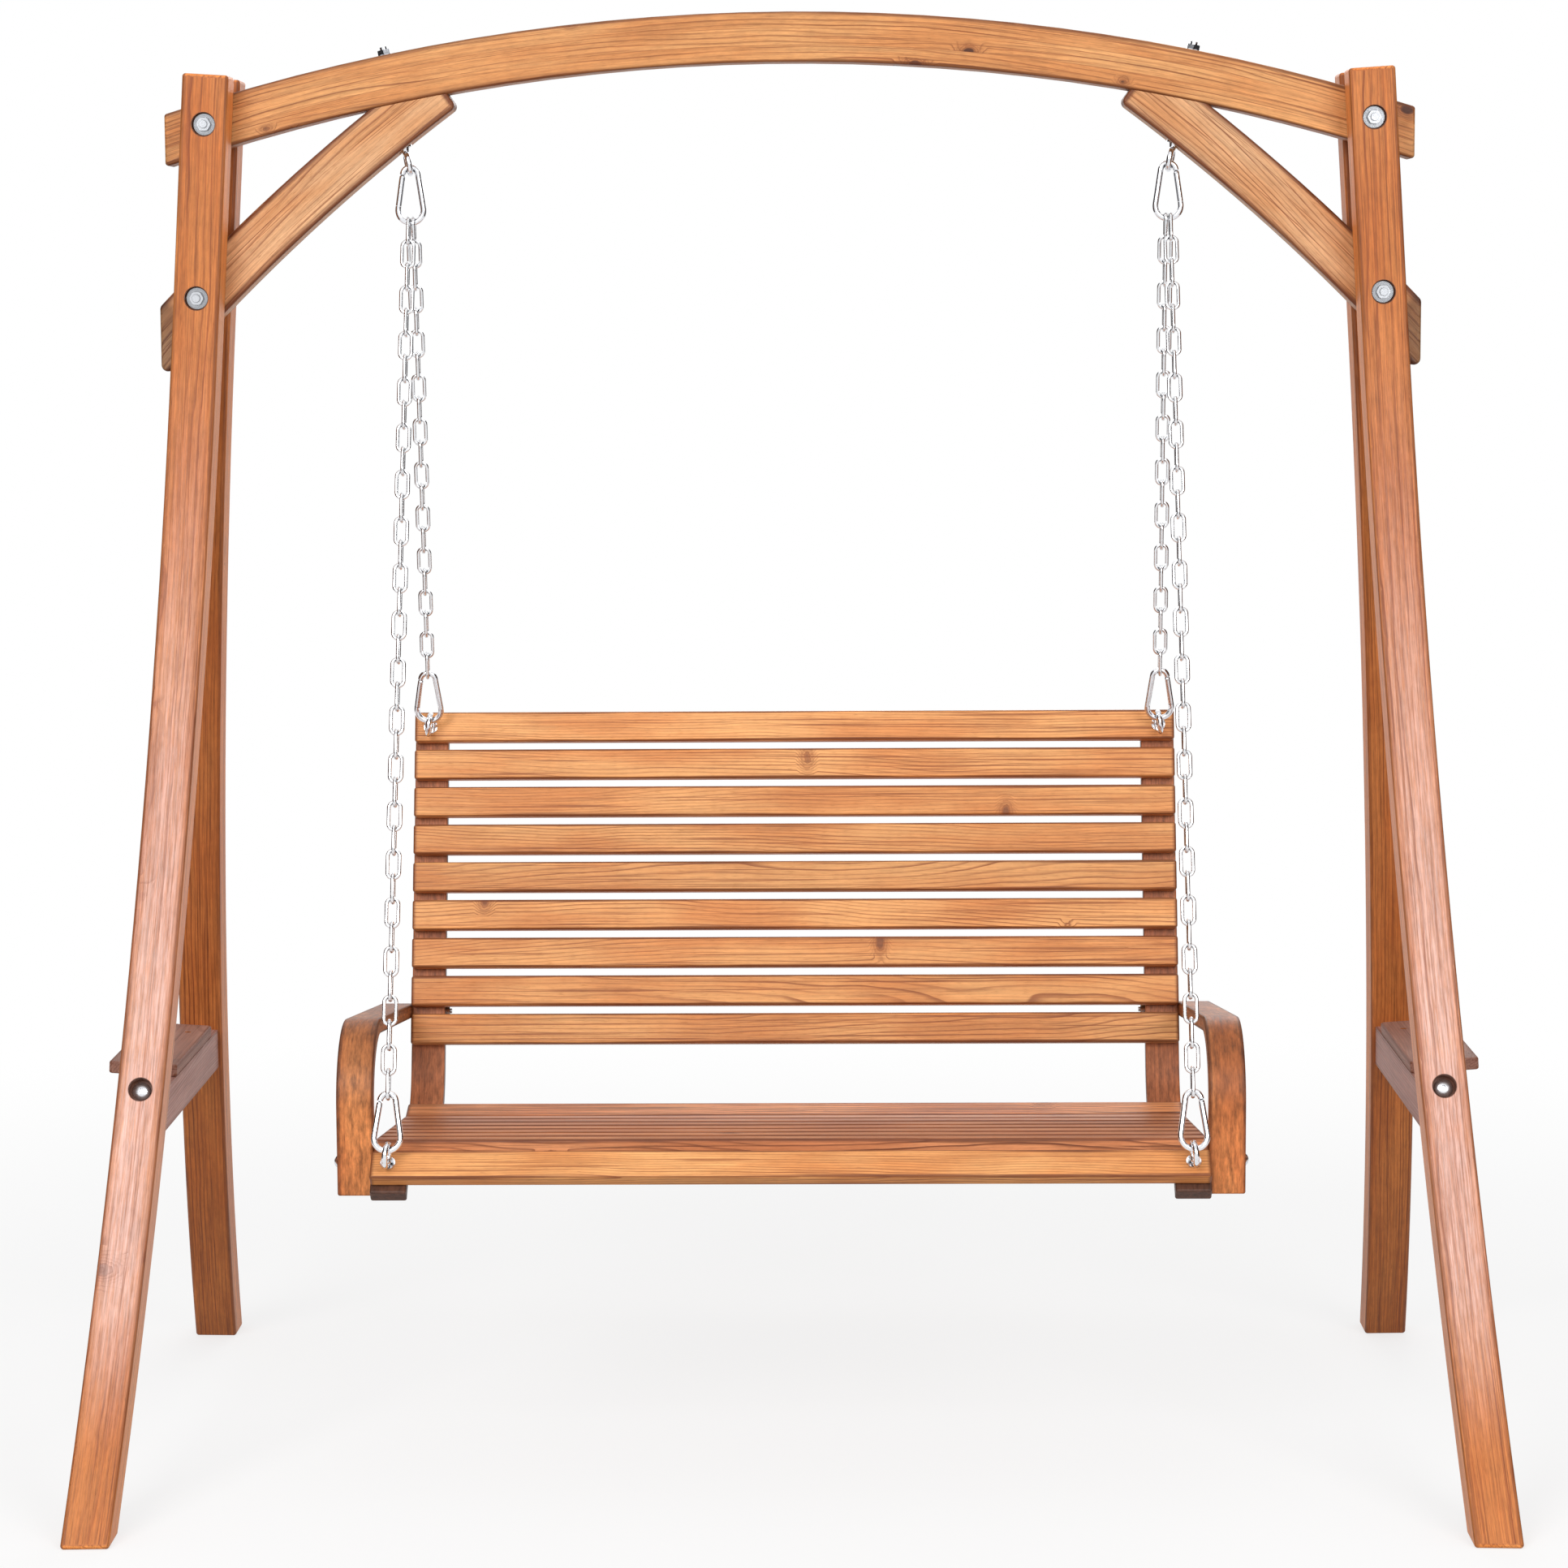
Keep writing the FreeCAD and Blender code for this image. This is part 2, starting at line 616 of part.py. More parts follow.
def build_through_bolts():
    """Four bolts front to back: head and washer behind, washer and nut in front."""
    bolts, nuts, washers = [], [], []
    for side, _ in SIDES:
        for up in BOLT_UPS:
            front, rear = bolt_points(side, up)
            front_seat = front + V(0, NUT_POCKET, 0)
            rear_seat = rear - V(0, HEAD_POCKET, 0)
            plate = ring(WASHER_DIA, BOLT_HOLE, WASHER_THICK)
            washers.append(placed(plate, front_seat, V(1, 0, 0), V(0, -1, 0)))
            washers.append(placed(plate, rear_seat, V(1, 0, 0), V(0, 1, 0)))
            nut_seat = front_seat - V(0, WASHER_THICK, 0)
            hex_nut = nut(HEX_FLATS, NUT_HEIGHT, BOLT_HOLE, 0, 0)
            nuts.append(placed(hex_nut, nut_seat, V(1, 0, 0), V(0, -1, 0)))
            head_seat = rear_seat + V(0, WASHER_THICK, 0)
            head = placed(chamfered_hexagon(HEX_FLATS, HEAD_HEIGHT), head_seat, V(1, 0, 0), V(0, 1, 0))
            tip = nut_seat - V(0, NUT_HEIGHT + BOLT_STICK_OUT, 0)
            bolts.append(head.fuse(rod(BOLT_DIA, head_seat, tip)).removeSplitter())
    add("frame_bolts", *bolts)
    add("frame_nuts", *nuts)
    add("frame_washers", *washers)


def eye_bolt(dia, neck, shank):
    """An eye bolt with its collar seated at the origin, its eye up and its shank down."""
    eye = Part.makeTorus(EYE_RADIUS, EYE_WIRE / 2, V(0, 0, eye_height(neck)), V(1, 0, 0))
    collar = Part.makeCylinder(EYE_COLLAR_DIA / 2, EYE_COLLAR)
    neck = Part.makeCone(EYE_COLLAR_DIA / 3, EYE_WIRE / 2, EYE_COLLAR + neck + EYE_WIRE / 2)
    stem = Part.makeCylinder(dia / 2, shank, V(0, 0, -shank))
    return eye.fuse([collar, neck, stem]).removeSplitter()


def twisted(x_axis, z_axis, degrees):
    return FreeCAD.Rotation(z_axis, degrees).multVec(x_axis)


def build_upper_eyes():
    bolts, nuts = [], []
    top = BEAM_TOP_RADIUS + SEAT_GAP
    for side, _ in SIDES:
        seat = on_arch(EYE_SEAT, side * EYE_ANGLE)
        down = (on_arch(0.0, 0.0) - seat).normalize()
        across = V(0, 1, 0).cross(down)
        shank = top + NUT_HEIGHT + EYE_STICK_OUT - EYE_SEAT
        bolt = eye_bolt(UPPER_EYE_DIA, UPPER_EYE_NECK, shank)
        bolts.append(placed(bolt, seat, twisted(across, down, side * UPPER_EYE_TWIST), down))
        flange_nut = nut(HEX_FLATS, NUT_HEIGHT, UPPER_EYE_DIA + 2 * HOLE_FIT, UPPER_FLANGE_DIA, FLANGE_THICK)
        nuts.append(placed(flange_nut, on_arch(top, side * EYE_ANGLE), V(0, 1, 0), down * -1))
    add("upper_eye_bolts", *bolts)
    add("upper_eye_nuts", *nuts)


# Bench

REAR_TURN = 90.0 - BACK_RECLINE + SEAT_TILT
FRONT_TURN = SEAT_TILT + FRONT_SLOPE
REAR_TANGENT = REAR_BEND_RADIUS * math.tan(math.radians(REAR_TURN / 2))
FRONT_TANGENT = FRONT_BEND_RADIUS * math.tan(math.radians(FRONT_TURN / 2))
SLAT_PITCH = SLAT_WIDTH + SLAT_GAP
SLAT_LENGTH = 2 * (RAIL_X + RAIL_WIDTH / 2 - SLAT_INSET)
BACK_SPAN = BACK_COUNT * SLAT_PITCH - SLAT_GAP
BACK_STRAIGHT = BACK_START + BACK_SPAN - POST_BELOW_SLAT
SEAT_STRAIGHT = SEAT_COUNT * SLAT_PITCH - SLAT_GAP - FRONT_LAP
FRONT_STRAIGHT = SLAT_WIDTH - FRONT_LAP + RAIL_PAST_SLAT
RAIL_OUTER_X = RAIL_X + RAIL_WIDTH / 2
RAIL_INNER_X = RAIL_X - RAIL_WIDTH / 2


def rail_path():
    """The line on which the slats sit, from the top of the back to the front end."""
    up = heading_vector(90.0 - BACK_RECLINE)
    climb = REAR_TANGENT + BACK_STRAIGHT
    top = (SEAT_CORNER_Y + up[0] * climb, SEAT_CORNER_Z + up[1] * climb)
    path = Path(top, -90.0 - BACK_RECLINE).straight(BACK_STRAIGHT)
    path.bend(REAR_BEND_RADIUS, -REAR_TURN).straight(SEAT_STRAIGHT)
    return path.bend(FRONT_BEND_RADIUS, FRONT_TURN).straight(FRONT_STRAIGHT)


RAIL = rail_path()
SEAT_START = BACK_STRAIGHT + REAR_BEND_RADIUS * math.radians(REAR_TURN)
FRONT_START = SEAT_START + SEAT_STRAIGHT + FRONT_BEND_RADIUS * math.radians(FRONT_TURN)


def bend_slat_lift():
    """How far a flat slat with rounded edges stands off the hollow bend that it bridges."""
    reach = REAR_BEND_RADIUS - SLAT_EDGE
    return reach - math.sqrt((reach - SEAT_GAP) ** 2 - (SLAT_WIDTH / 2 - SLAT_EDGE) ** 2)


def slat_places():
    """Name, distance along the rail and lift of every slat."""
    places = []
    for k in range(BACK_COUNT):
        places.append(("back_slat_%d" % (k + 1), SLAT_WIDTH / 2 - POST_BELOW_SLAT + k * SLAT_PITCH, 0.0))
    places.append(("seat_slat_1", SEAT_START - BEND_SLAT_ARC, bend_slat_lift()))
    for k in range(SEAT_COUNT):
        places.append(("seat_slat_%d" % (k + 2), SEAT_START + SLAT_WIDTH / 2 + k * SLAT_PITCH, 0.0))
    places.append(("front_slat", FRONT_START - FRONT_LAP + SLAT_WIDTH / 2, 0.0))
    return places


def rail_frame(distance):
    """Point on the slat line, the direction out of it and the direction along it."""
    point, heading = RAIL.at(distance)
    out = heading_vector(heading - 90.0)
    along = heading_vector(heading)
    return V(0, *point), V(0, *out), V(0, *along)


def slat_screw(grow, lift):
    """A screw from behind the rail into a slat: the rail's back face lies at the origin."""
    length = RAIL_THICK + lift + SCREW_BITE
    shank = Part.makeCylinder(SCREW_DIA / 2 + grow, length + grow)
    head = Part.makeCylinder(SCREW_HEAD_DIA / 2 + grow, SCREW_HEAD_HEIGHT, V(0, 0, -SCREW_HEAD_HEIGHT))
    return shank if grow else shank.fuse(head).removeSplitter()


def eye_places():
    """The two seat eye bolts of one side: name, distance along the rail and slat."""
    places = {name: distance for name, distance, _ in slat_places()}
    return (("front", places["front_slat"], "front_slat"), ("rear", places["back_slat_1"], "back_slat_1"))


def arm_path():
    """Middle line of an arm: up beside the front of the rail, then back to the post."""
    foot, out, _ = rail_frame(SEAT_START + SEAT_STRAIGHT - ARM_BOLT_BACK)
    front_bolt = foot - out * (RAIL_THICK / 2)
    path = Path((front_bolt.y, front_bolt.z - ARM_DROP), 90.0)
    path.straight(ARM_DROP + ARM_RISE - ARM_BEND_RADIUS)
    path.bend(ARM_BEND_RADIUS, -90.0 - ARM_SLOPE)
    post, back, down = rail_frame(0.0)
    post = post - back * (RAIL_THICK / 2)
    along = heading_vector(path.heading)
    start = path.end
    gap = V(0, post.y - start[0], post.z - start[1])
    reach = (gap.y * down.z - gap.z * down.y) / (along[0] * down.z - along[1] * down.y)
    rear_bolt = V(0, start[0] + along[0] * reach, start[1] + along[1] * reach)
    path.straight(reach + RAIL_THICK / 2 + ARM_PAST_POST)
    return path, front_bolt, rear_bolt


def arm_bolt(side, centre):
    """A round-headed bolt from outside through the arm and the rail, and its nut inside."""
    outer = V(side * (RAIL_OUTER_X + ARM_WIDTH), centre.y, centre.z)
    inner = V(side * RAIL_INNER_X, centre.y, centre.z)
    inward = V(-side, 0, 0)
    sphere = (ARM_BOLT_HEAD_DIA ** 2 / 4 + ARM_BOLT_HEAD ** 2) / (2 * ARM_BOLT_HEAD)
    ball = Part.makeSphere(sphere, V(0, 0, ARM_BOLT_HEAD - sphere))
    head = Part.makeCylinder(ARM_BOLT_HEAD_DIA / 2, ARM_BOLT_HEAD).common(ball)
    head = placed(head, outer, V(0, 1, 0), inward * -1)
    tip = inner + inward * (ARM_NUT_HEIGHT + ARM_BOLT_STICK_OUT)
    hole = ARM_BOLT_DIA + 2 * HOLE_FIT
    hex_nut = placed(nut(ARM_NUT_FLATS, ARM_NUT_HEIGHT, hole, 0, 0), inner, V(0, 1, 0), inward)
    return head.fuse(rod(ARM_BOLT_DIA, outer, tip)).removeSplitter(), hex_nut, rod(hole, outer, tip)


def build_bench():
    arm_line, front_bolt, rear_bolt = arm_path()
    holes = {LEFT: [], RIGHT: []}
    screws, eye_bolts, eye_nuts, arm_bolts, arm_nuts = [], [], [], [], []
    slats = {}
    for name, distance, lift in slat_places():
        point, out, along = rail_frame(distance)
        half = SLAT_WIDTH / 2
        blank = block(-SLAT_LENGTH / 2, SLAT_LENGTH / 2, -half, half, 0, SLAT_THICK)
        slat = placed(rounded(blank, SLAT_EDGE), point + out * lift, V(1, 0, 0), out)
        for side, _ in SIDES:
            back = point - out * RAIL_THICK + V(side * screw_x(name), 0, 0)
            screws.append(placed(slat_screw(0.0, lift), back, V(1, 0, 0), out))
            hole = placed(slat_screw(HOLE_FIT, lift), back, V(1, 0, 0), out)
            slat = slat.cut(hole)
            holes[side].append(hole)
        slats[name] = slat
    for side, _ in SIDES:
        for _, distance, slat_name in eye_places():
            point, out, _ = rail_frame(distance)
            seat = point + out * SLAT_THICK + V(side * RAIL_X, 0, 0)
            back = seat - out * (SLAT_THICK + RAIL_THICK)
            shank = SLAT_THICK + RAIL_THICK + SEAT_NUT_HEIGHT + EYE_STICK_OUT
            bolt = eye_bolt(SEAT_EYE_DIA, SEAT_EYE_NECK, shank)
            eye_bolts.append(placed(bolt, seat, twisted(V(1, 0, 0), out, side * SEAT_EYE_TWIST), out))
            hole_dia = SEAT_EYE_DIA + 2 * HOLE_FIT
            flange_nut = nut(SEAT_NUT_FLATS, SEAT_NUT_HEIGHT, hole_dia, SEAT_FLANGE_DIA, FLANGE_THICK)
            eye_nuts.append(placed(flange_nut, back, V(1, 0, 0), out * -1))
            hole = rod(hole_dia, seat + out, back - out)
            slats[slat_name] = slats[slat_name].cut(hole)
            holes[side].append(hole)
    blank = strip(RAIL, RAIL_THICK, 0.0, RAIL_WIDTH, side_plane)
    rail = rounded(blank, RAIL_EDGE)
    arm = rounded(strip(arm_line, ARM_THICK / 2, -ARM_THICK / 2, ARM_WIDTH, side_plane), RAIL_EDGE)
    for side, name in SIDES:
        arm_holes = []
        for centre in (front_bolt, rear_bolt):
            bolt, hex_nut, hole = arm_bolt(side, centre)
            arm_bolts.append(bolt)
            arm_nuts.append(hex_nut)
            arm_holes.append(hole)
        cutters = holes[side] + arm_holes
        add("side_rail_%s" % name, rail.translated(V(side * RAIL_X, 0, 0)).cut(cutters))
        arm_x = side * (RAIL_OUTER_X + ARM_WIDTH / 2)
        add("arm_%s" % name, arm.translated(V(arm_x, 0, 0)).cut(arm_holes))
    for name, slat in slats.items():
        add(name, slat)
    add("slat_screws", *screws)
    add("seat_eye_bolts", *eye_bolts)
    add("seat_eye_nuts", *eye_nuts)
    add("arm_bolts", *arm_bolts)
    add("arm_nuts", *arm_nuts)


def screw_x(slat_name):
    """Screws sit on the rail's middle, or beside the eye bolt in a slat that has one."""
    eye_slats = [slat for _, _, slat in eye_places()]
    return RAIL_X - RAIL_WIDTH / 3 if slat_name in eye_slats else RAIL_X


# Snap hooks

HOOK_DELTA = math.degrees(math.asin((HOOK_LARGE_RADIUS - HOOK_SMALL_RADIUS) / HOOK_CENTRES))
HOOK_LINE = HOOK_CENTRES * math.cos(math.radians(HOOK_DELTA))
HOOK_SPAN = HOOK_SMALL_RADIUS + HOOK_CENTRES + HOOK_LARGE_RADIUS


def hook_gate_line():
    """Start and direction of the gate's middle line; the small end's bar lies at the origin, up is +Z."""
    out = heading_vector(HOOK_DELTA)
    start = V(out[0] * HOOK_SMALL_RADIUS, 0, -HOOK_SMALL_RADIUS + out[1] * HOOK_SMALL_RADIUS)
    down = heading_vector(HOOK_DELTA - 90.0)
    return start, V(down[0], 0, down[1])


def hook_pin():
    start, down = hook_gate_line()
    return start + down * GATE_PIN_DOWN


def hook_body():
    """The pear-shaped bar: a tongue by the hinge, round both ends and up to the gate's nose."""
    start, down = hook_gate_line()
    shoulder = GATE_PIN_DOWN - HOOK_WIRE / 2 - HINGE_SHOULDER_GAP
    nose = HOOK_LINE - GATE_PIN_DOWN - GATE_REACH - GATE_NOSE_GAP
    first = start + down * shoulder
    path = Path((first.x, first.z), HOOK_DELTA + 90.0).straight(shoulder)
    path.bend(HOOK_SMALL_RADIUS, 180.0 - 2 * HOOK_DELTA).straight(HOOK_LINE)
    path.bend(HOOK_LARGE_RADIUS, 180.0 + 2 * HOOK_DELTA).straight(nose)
    line = Part.Wire(path.offset_edges(0.0, front_plane))
    section = Part.Wire(Part.makeCircle(HOOK_WIRE / 2, first, down))
    bar = line.makePipeShell([section], True, False)
    pin = hook_pin()
    half = TONGUE_THICK / 2
    root = pin - down * (HOOK_WIRE / 2 + HINGE_SHOULDER_GAP + HOOK_WIRE / 4)
    tongue = Part.makeBox(TONGUE_WIDTH, TONGUE_THICK, (pin - root).Length, V(-TONGUE_WIDTH / 2, -half, 0))
    tongue = placed(tongue, root, V(0, 1, 0).cross(down), down)
    tip = Part.makeCylinder(TONGUE_WIDTH / 2, TONGUE_THICK, pin - V(0, half, 0), V(0, 1, 0))
    hole = rod(GATE_PIN_DIA + 2 * PIN_FIT, pin - V(0, HOOK_WIRE, 0), pin + V(0, HOOK_WIRE, 0))
    return bar.fuse([tongue, tip]).removeSplitter().cut(hole)


def hook_gate():
    """A round gate with a forked, ball-shaped hinge end."""
    _, down = hook_gate_line()
    pin = hook_pin()
    gate = rod(HOOK_WIRE, pin, pin + down * GATE_REACH).fuse(Part.makeSphere(HOOK_WIRE / 2, pin))
    slot = TONGUE_THICK + 2 * FORK_SIDE_GAP
    depth = TONGUE_WIDTH / 2 + HINGE_SHOULDER_GAP
    fork = Part.makeBox(2 * HOOK_WIRE, slot, HOOK_WIRE + depth, V(-HOOK_WIRE, -slot / 2, -HOOK_WIRE))
    fork = placed(fork, pin, V(0, 1, 0).cross(down), down)
    hole = rod(GATE_PIN_DIA + 2 * PIN_FIT, pin - V(0, HOOK_WIRE, 0), pin + V(0, HOOK_WIRE, 0))
    return gate.removeSplitter().cut([fork, hole])


def hook_hinge_pin():
    pin = hook_pin()
    half = V(0, GATE_PIN_LENGTH / 2, 0)
    return rod(GATE_PIN_DIA, pin - half, pin + half)


# Chains

def chain_link(pitch):
    """One welded link about the origin, long in Z and flat in the Y-Z plane."""
    radius = (CHAIN_WIDTH - CHAIN_WIRE) / 2
    run = pitch + LOAD_GAP + CHAIN_WIRE - 2 * radius
    path = Path((radius, -run / 2), 90.0).straight(run)
    path.bend(radius, 180.0).straight(run).bend(radius, 180.0)
    line = Part.Wire(path.offset_edges(0.0, side_plane))
    section = Part.Wire(Part.makeCircle(CHAIN_WIRE / 2, V(0, radius, -run / 2), V(0, 0, 1)))
    return line.makePipeShell([section], True, False)


def chain(top_bar, low_bar):
    """Links from one hook's bar to another; an odd count, so both end links face the bars."""
    axis = low_bar - top_bar
    span = axis.Length + HOOK_WIRE + LOAD_GAP
    count = 2 * round((span / CHAIN_PITCH - 1) / 2) + 1
    pitch = span / count
    down = axis.normalize()
    link = chain_link(pitch)
    level = (V(1, 0, 0) - down * down.x).normalize()
    crossed = down.cross(level)
    links = []
    for k in range(count):
        middle = top_bar + down * (pitch * (k + 0.5) - (HOOK_WIRE + LOAD_GAP) / 2)
        links.append(placed(link, middle, level if k % 2 == 0 else crossed, down))
    print("chain links", count, "pitch %.2f" % pitch)
    return group(links)


HINGE_Z = on_arch(EYE_SEAT - EYE_DROP, EYE_ANGLE).z + (EYE_WIRE + HOOK_WIRE) / 2 + SWING_GAP


def bar_lift(step):
    """How much higher a link rides on a hook's round end when it hangs beside the middle."""
    reach = HOOK_LARGE_RADIUS - (HOOK_WIRE + CHAIN_WIRE) / 2 - LOAD_GAP
    return reach - math.sqrt(reach ** 2 - step ** 2)


def hang(side, name):
    """The hooks, gates and chains of one side."""
    gate_out = V(side, 0, 0)
    top = V(side * UPPER_EYE_X, 0, HINGE_Z)
    hooks = {"upper": (top, V(0, 0, 1))}
    low_bar = top - V(0, 0, HOOK_SPAN)
    for word, distance, _ in eye_places():
        point, out, _ = rail_frame(distance)
        eye = point + out * (SLAT_THICK + eye_height(SEAT_EYE_NECK))
        eye = eye + V(side * RAIL_X, 0, 0)
        step = side * CHAIN_SIDE_STEP * (1 if word == "front" else -1)
        start = low_bar + V(step, 0, bar_lift(step))
        up = (start - eye).normalize()
        bar = eye + up * (EYE_RADIUS - (EYE_WIRE + HOOK_WIRE) / 2 - LOAD_GAP)
        small = bar + up * HOOK_SPAN
        hooks[word] = (small, up)
        add("chain_%s_%s" % (word, name), chain(start, small))
    made = []
    for word, (base, up) in hooks.items():
        level = (gate_out - up * gate_out.dot(up)).normalize()
        add("gate_%s_%s" % (word, name), placed(hook_gate(), base, level, up))
        made.append((word, placed(hook_body(), base, level, up), placed(hook_hinge_pin(), base, level, up)))
        pin = placed(Part.Vertex(hook_pin()), base, level, up).Point
        axis = up.cross(level)
        print("gate", word, name, "pin %.3f %.3f %.3f" % tuple(pin), "axis %.5f %.5f %.5f" % tuple(axis))
    return made


def build_hanging():
    made = []
    for side, name in SIDES:
        made.extend(hang(side, name))
    for place in ("upper", "front", "rear"):
        add("%s_hooks" % place, *[body for word, body, _ in made if word == place])
    add("hook_pins", *[pin for _, _, pin in made])
    print("hinge height %.3f" % HINGE_Z)


FRAME_WORDS = ("leg", "stretcher", "board", "top_beam", "brace", "frame", "upper_eye")
TIMBER_WORDS = ("slat_", "back_slat", "seat_slat", "front_slat", "side_rail", "arm_left", "arm_right")


def print_balance():
    """Where the weight of the hanging bench lies from front to back, under the hinge line."""
    mass, moment = 0.0, 0.0
    for name, shape in nodes.items():
        if name.startswith(FRAME_WORDS):
            continue
        wooden = name.startswith(TIMBER_WORDS) and not name.endswith("screws")
        density = TIMBER_DENSITY if wooden else STEEL_DENSITY
        for solid in shape.Solids:
            mass += solid.Volume * density
            moment += solid.Volume * density * solid.CenterOfMass.y
    print("hanging weight %.2f kg, centre at Y %.2f" % (mass / 1000, moment / mass))


build_frame()
build_bench()
build_hanging()
print_balance()

os.makedirs("parts", exist_ok=True)
for name, shape in nodes.items():
    shape.exportStep("parts/%s.step" % name)
whole = group(nodes.values()).BoundBox
print(len(nodes), "nodes, box", [round(v, 1) for v in (whole.XMin, whole.XMax, whole.YMin, whole.YMax, whole.ZMin, whole.ZMax)])
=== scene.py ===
import math

import bpy
from mathutils import Matrix, Vector


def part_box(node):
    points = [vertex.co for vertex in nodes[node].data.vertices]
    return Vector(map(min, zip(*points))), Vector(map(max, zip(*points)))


# A garden swing bench in stained larch with bright zinc fittings, in metres

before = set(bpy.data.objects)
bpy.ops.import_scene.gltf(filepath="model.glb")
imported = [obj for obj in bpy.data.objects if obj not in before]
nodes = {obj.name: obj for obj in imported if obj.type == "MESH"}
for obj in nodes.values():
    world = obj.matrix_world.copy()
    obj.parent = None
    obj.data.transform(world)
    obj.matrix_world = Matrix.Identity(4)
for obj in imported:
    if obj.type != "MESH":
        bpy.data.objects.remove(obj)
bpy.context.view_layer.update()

# Camera of the photograph
PHOTO_PX = 1932.0
FOCAL_PX = 4954.8
SENSOR_MM = 36.0
CAMERA_AT = Vector((0.07465, -5.58787, 1.57458))
YAW, PITCH, ROLL = -0.88, -6.67, -0.32

# Sizes of the timber in millimetres and degrees, for grain that follows each bend
TO_MM = 1000.0
FOOT_SPACING = 1816.0
LEAN = 3.6
LEG_MID_Y = 53.0
LEG_LENGTH = 1905.0
LEG_STRAIGHT = 316.0
LEG_BEND_RADIUS = 2790.0
LEG_BEND = 36.2
LEG_HEADING = -90.0
BEAM_CENTRE_Z = -821.0
BEND_RADIUS = 2771.0
BEAM_BEND = 40.0
BRACE_BOLT = (807.4, 1599.6)
BRACE_ANGLE = 45.3
BRACE_BEND = 20.0
RAIL_X = 531.0
RAIL_START = (278.5, 989.1)
RAIL_RUNS = ((518.2, 0.0, 0.0), (0.0, 95.0, -80.5), (366.9, 0.0, 0.0), (0.0, 36.0, 48.6), (60.0, 0.0, 0.0))
RAIL_HEADING = -106.1
ARM_X = 579.5
ARM_START = (-330.0, 410.1)
ARM_RUNS = ((115.0, 0.0, 0.0), (0.0, 95.0, -97.0), (600.0, 0.0, 0.0))
ARM_HEADING = 90.0
BORES = (67.4, 302.2, 1396.5)
BORE_RADIUS = 16.0
STRETCHER_MIDDLE = 506.0
BOARD_MIDDLE = 544.5
BOARD_OUT = 22.0
FAR_AWAY = 9000.0

# Noise fields of the wood: size along and across the grain in millimetres, detail, shift along and roughness
FIELDS = {
    "knot_rim": (9.0, 5.0, 2.0, 4.1, 0.5),
    "wander": (620.0, 190.0, 2.0, 1.3, 0.5),
    "ripple": (110.0, 34.0, 2.0, 9.2, 0.5),
    "zone": (420.0, 26.0, 2.0, 13.7, 0.5),
    "fibre": (70.0, 1.5, 3.0, 2.2, 0.6),
    "streak": (260.0, 4.5, 2.0, 6.4, 0.5),
    "pores": (16.0, 0.5, 1.0, 3.3, 0.5),
    "lines": (340.0, 2.2, 2.0, 7.7, 0.55),
    "blotch": (210.0, 48.0, 3.0, 8.8, 0.5),
    "patch": (36.0, 22.0, 3.0, 5.5, 0.6),
    "mottle": (20.0, 6.0, 3.0, 11.1, 0.65),
    "sheen_noise": (30.0, 1.1, 3.0, 15.2, 0.6),
}

# The middle of a value from 0 to 1, how far apart the fields of two pieces or two glued layers lie, and a tone's effect
MIDDLE = 0.5
SEED_REACH, LAYER_REACH = 37.0, 61.0
TONE_DEPTH = 0.14

# Ranges of a field or a distance over which a feature of the wood comes or goes
PORE_RANGE = (0.60, 0.74)
LINE_RANGE = (0.58, 0.67)
BLOTCH_RANGE = (0.32, 0.68)
ZONE_RANGE = (0.40, 0.60)
LATE_TO = 0.93
LATE_END = (0.94, 1.0)
FAINTEST_RING = 0.45
GLUE_RANGE, GLUE_STAIN = (0.15, 0.5), 0.5
EDGE_FULL, EDGE_UNEVEN = 1.6, 9.0
SLAT_END = (-7.0, -1.0)
END_FADE = 6.0
# The width and strength of the painted shade in the legs' bolt pockets
BORE_SHADE_WIDTH, BORE_SHADE_STRENGTH = 1.4, 0.9

# Knots: their spread in a cell, sizes and rings
KNOT_RANDOMNESS = 0.9
KNOT_LENGTHWISE, KNOT_ACROSS = 1.5, 0.35
KNOT_UNEVEN = 2.4
KNOT_SIZES = (0.5, 0.7)
KNOT_CORE = (0.75, 1.15)
KNOT_HALO = (0.8, 3.4)
KNOT_PUSH = 1.7
KNOT_RINGS = 0.42
HALO_STAIN = 0.30
KNOT_RELIEF = 0.3

# Painted sheen on the front legs: a pale glow by height and by distance from the edges
SHEEN_FROM = (1650.0, 620.0)
SHEEN_FOOT = (90.0, 330.0)
SHEEN_NOISE_SHARE, STREAK_SHARE = 0.7, 0.3
SHEEN_RANGE, SHEEN_LEAST = (0.36, 0.62), 0.45
SHEEN_IN_LINES = 0.5
SHEEN_EDGE, SHEEN_EDGE_LEAST, SHEEN_EDGE_UNEVEN = (4.0, 20.0), 0.35, 6.0

# Gloss and relief of the wood
FIBRE_ROUGH, LATE_ROUGH = 0.16, -0.06
WOOD_SPECULAR = 0.3
COAT_ROUGH = 0.34
LATE_RELIEF, FIBRE_RELIEF, PORE_RELIEF = 0.55, 0.55, -0.5
WOOD_RELIEF_M = 0.0006

# Zinc: grain per millimetre, mottle, painted shade in the creases and gloss
ZINC_FINE, ZINC_WIDE = 0.35, 0.06
FINE_DETAIL, FINE_ROUGHNESS = 3.0, 0.6
FINE_SHARE, WIDE_SHARE = 0.6, 0.4
DULL_SHARE = 0.62
MOTTLE_RANGE = (0.36, 0.66)
GLOSS_RANGE, GLOSS_SPAN = (0.3, 0.7), 0.10
CREASE_SAMPLES = 6
CREASE_OPEN, CREASE_SPAN = 0.25, 0.55
CREASE_SHADE = 0.9
CREASE_SHADE_COLOUR = (0.035, 0.036, 0.042, 1.0)
ZINC_BUMP, ZINC_RELIEF_M = 0.05, 0.0003

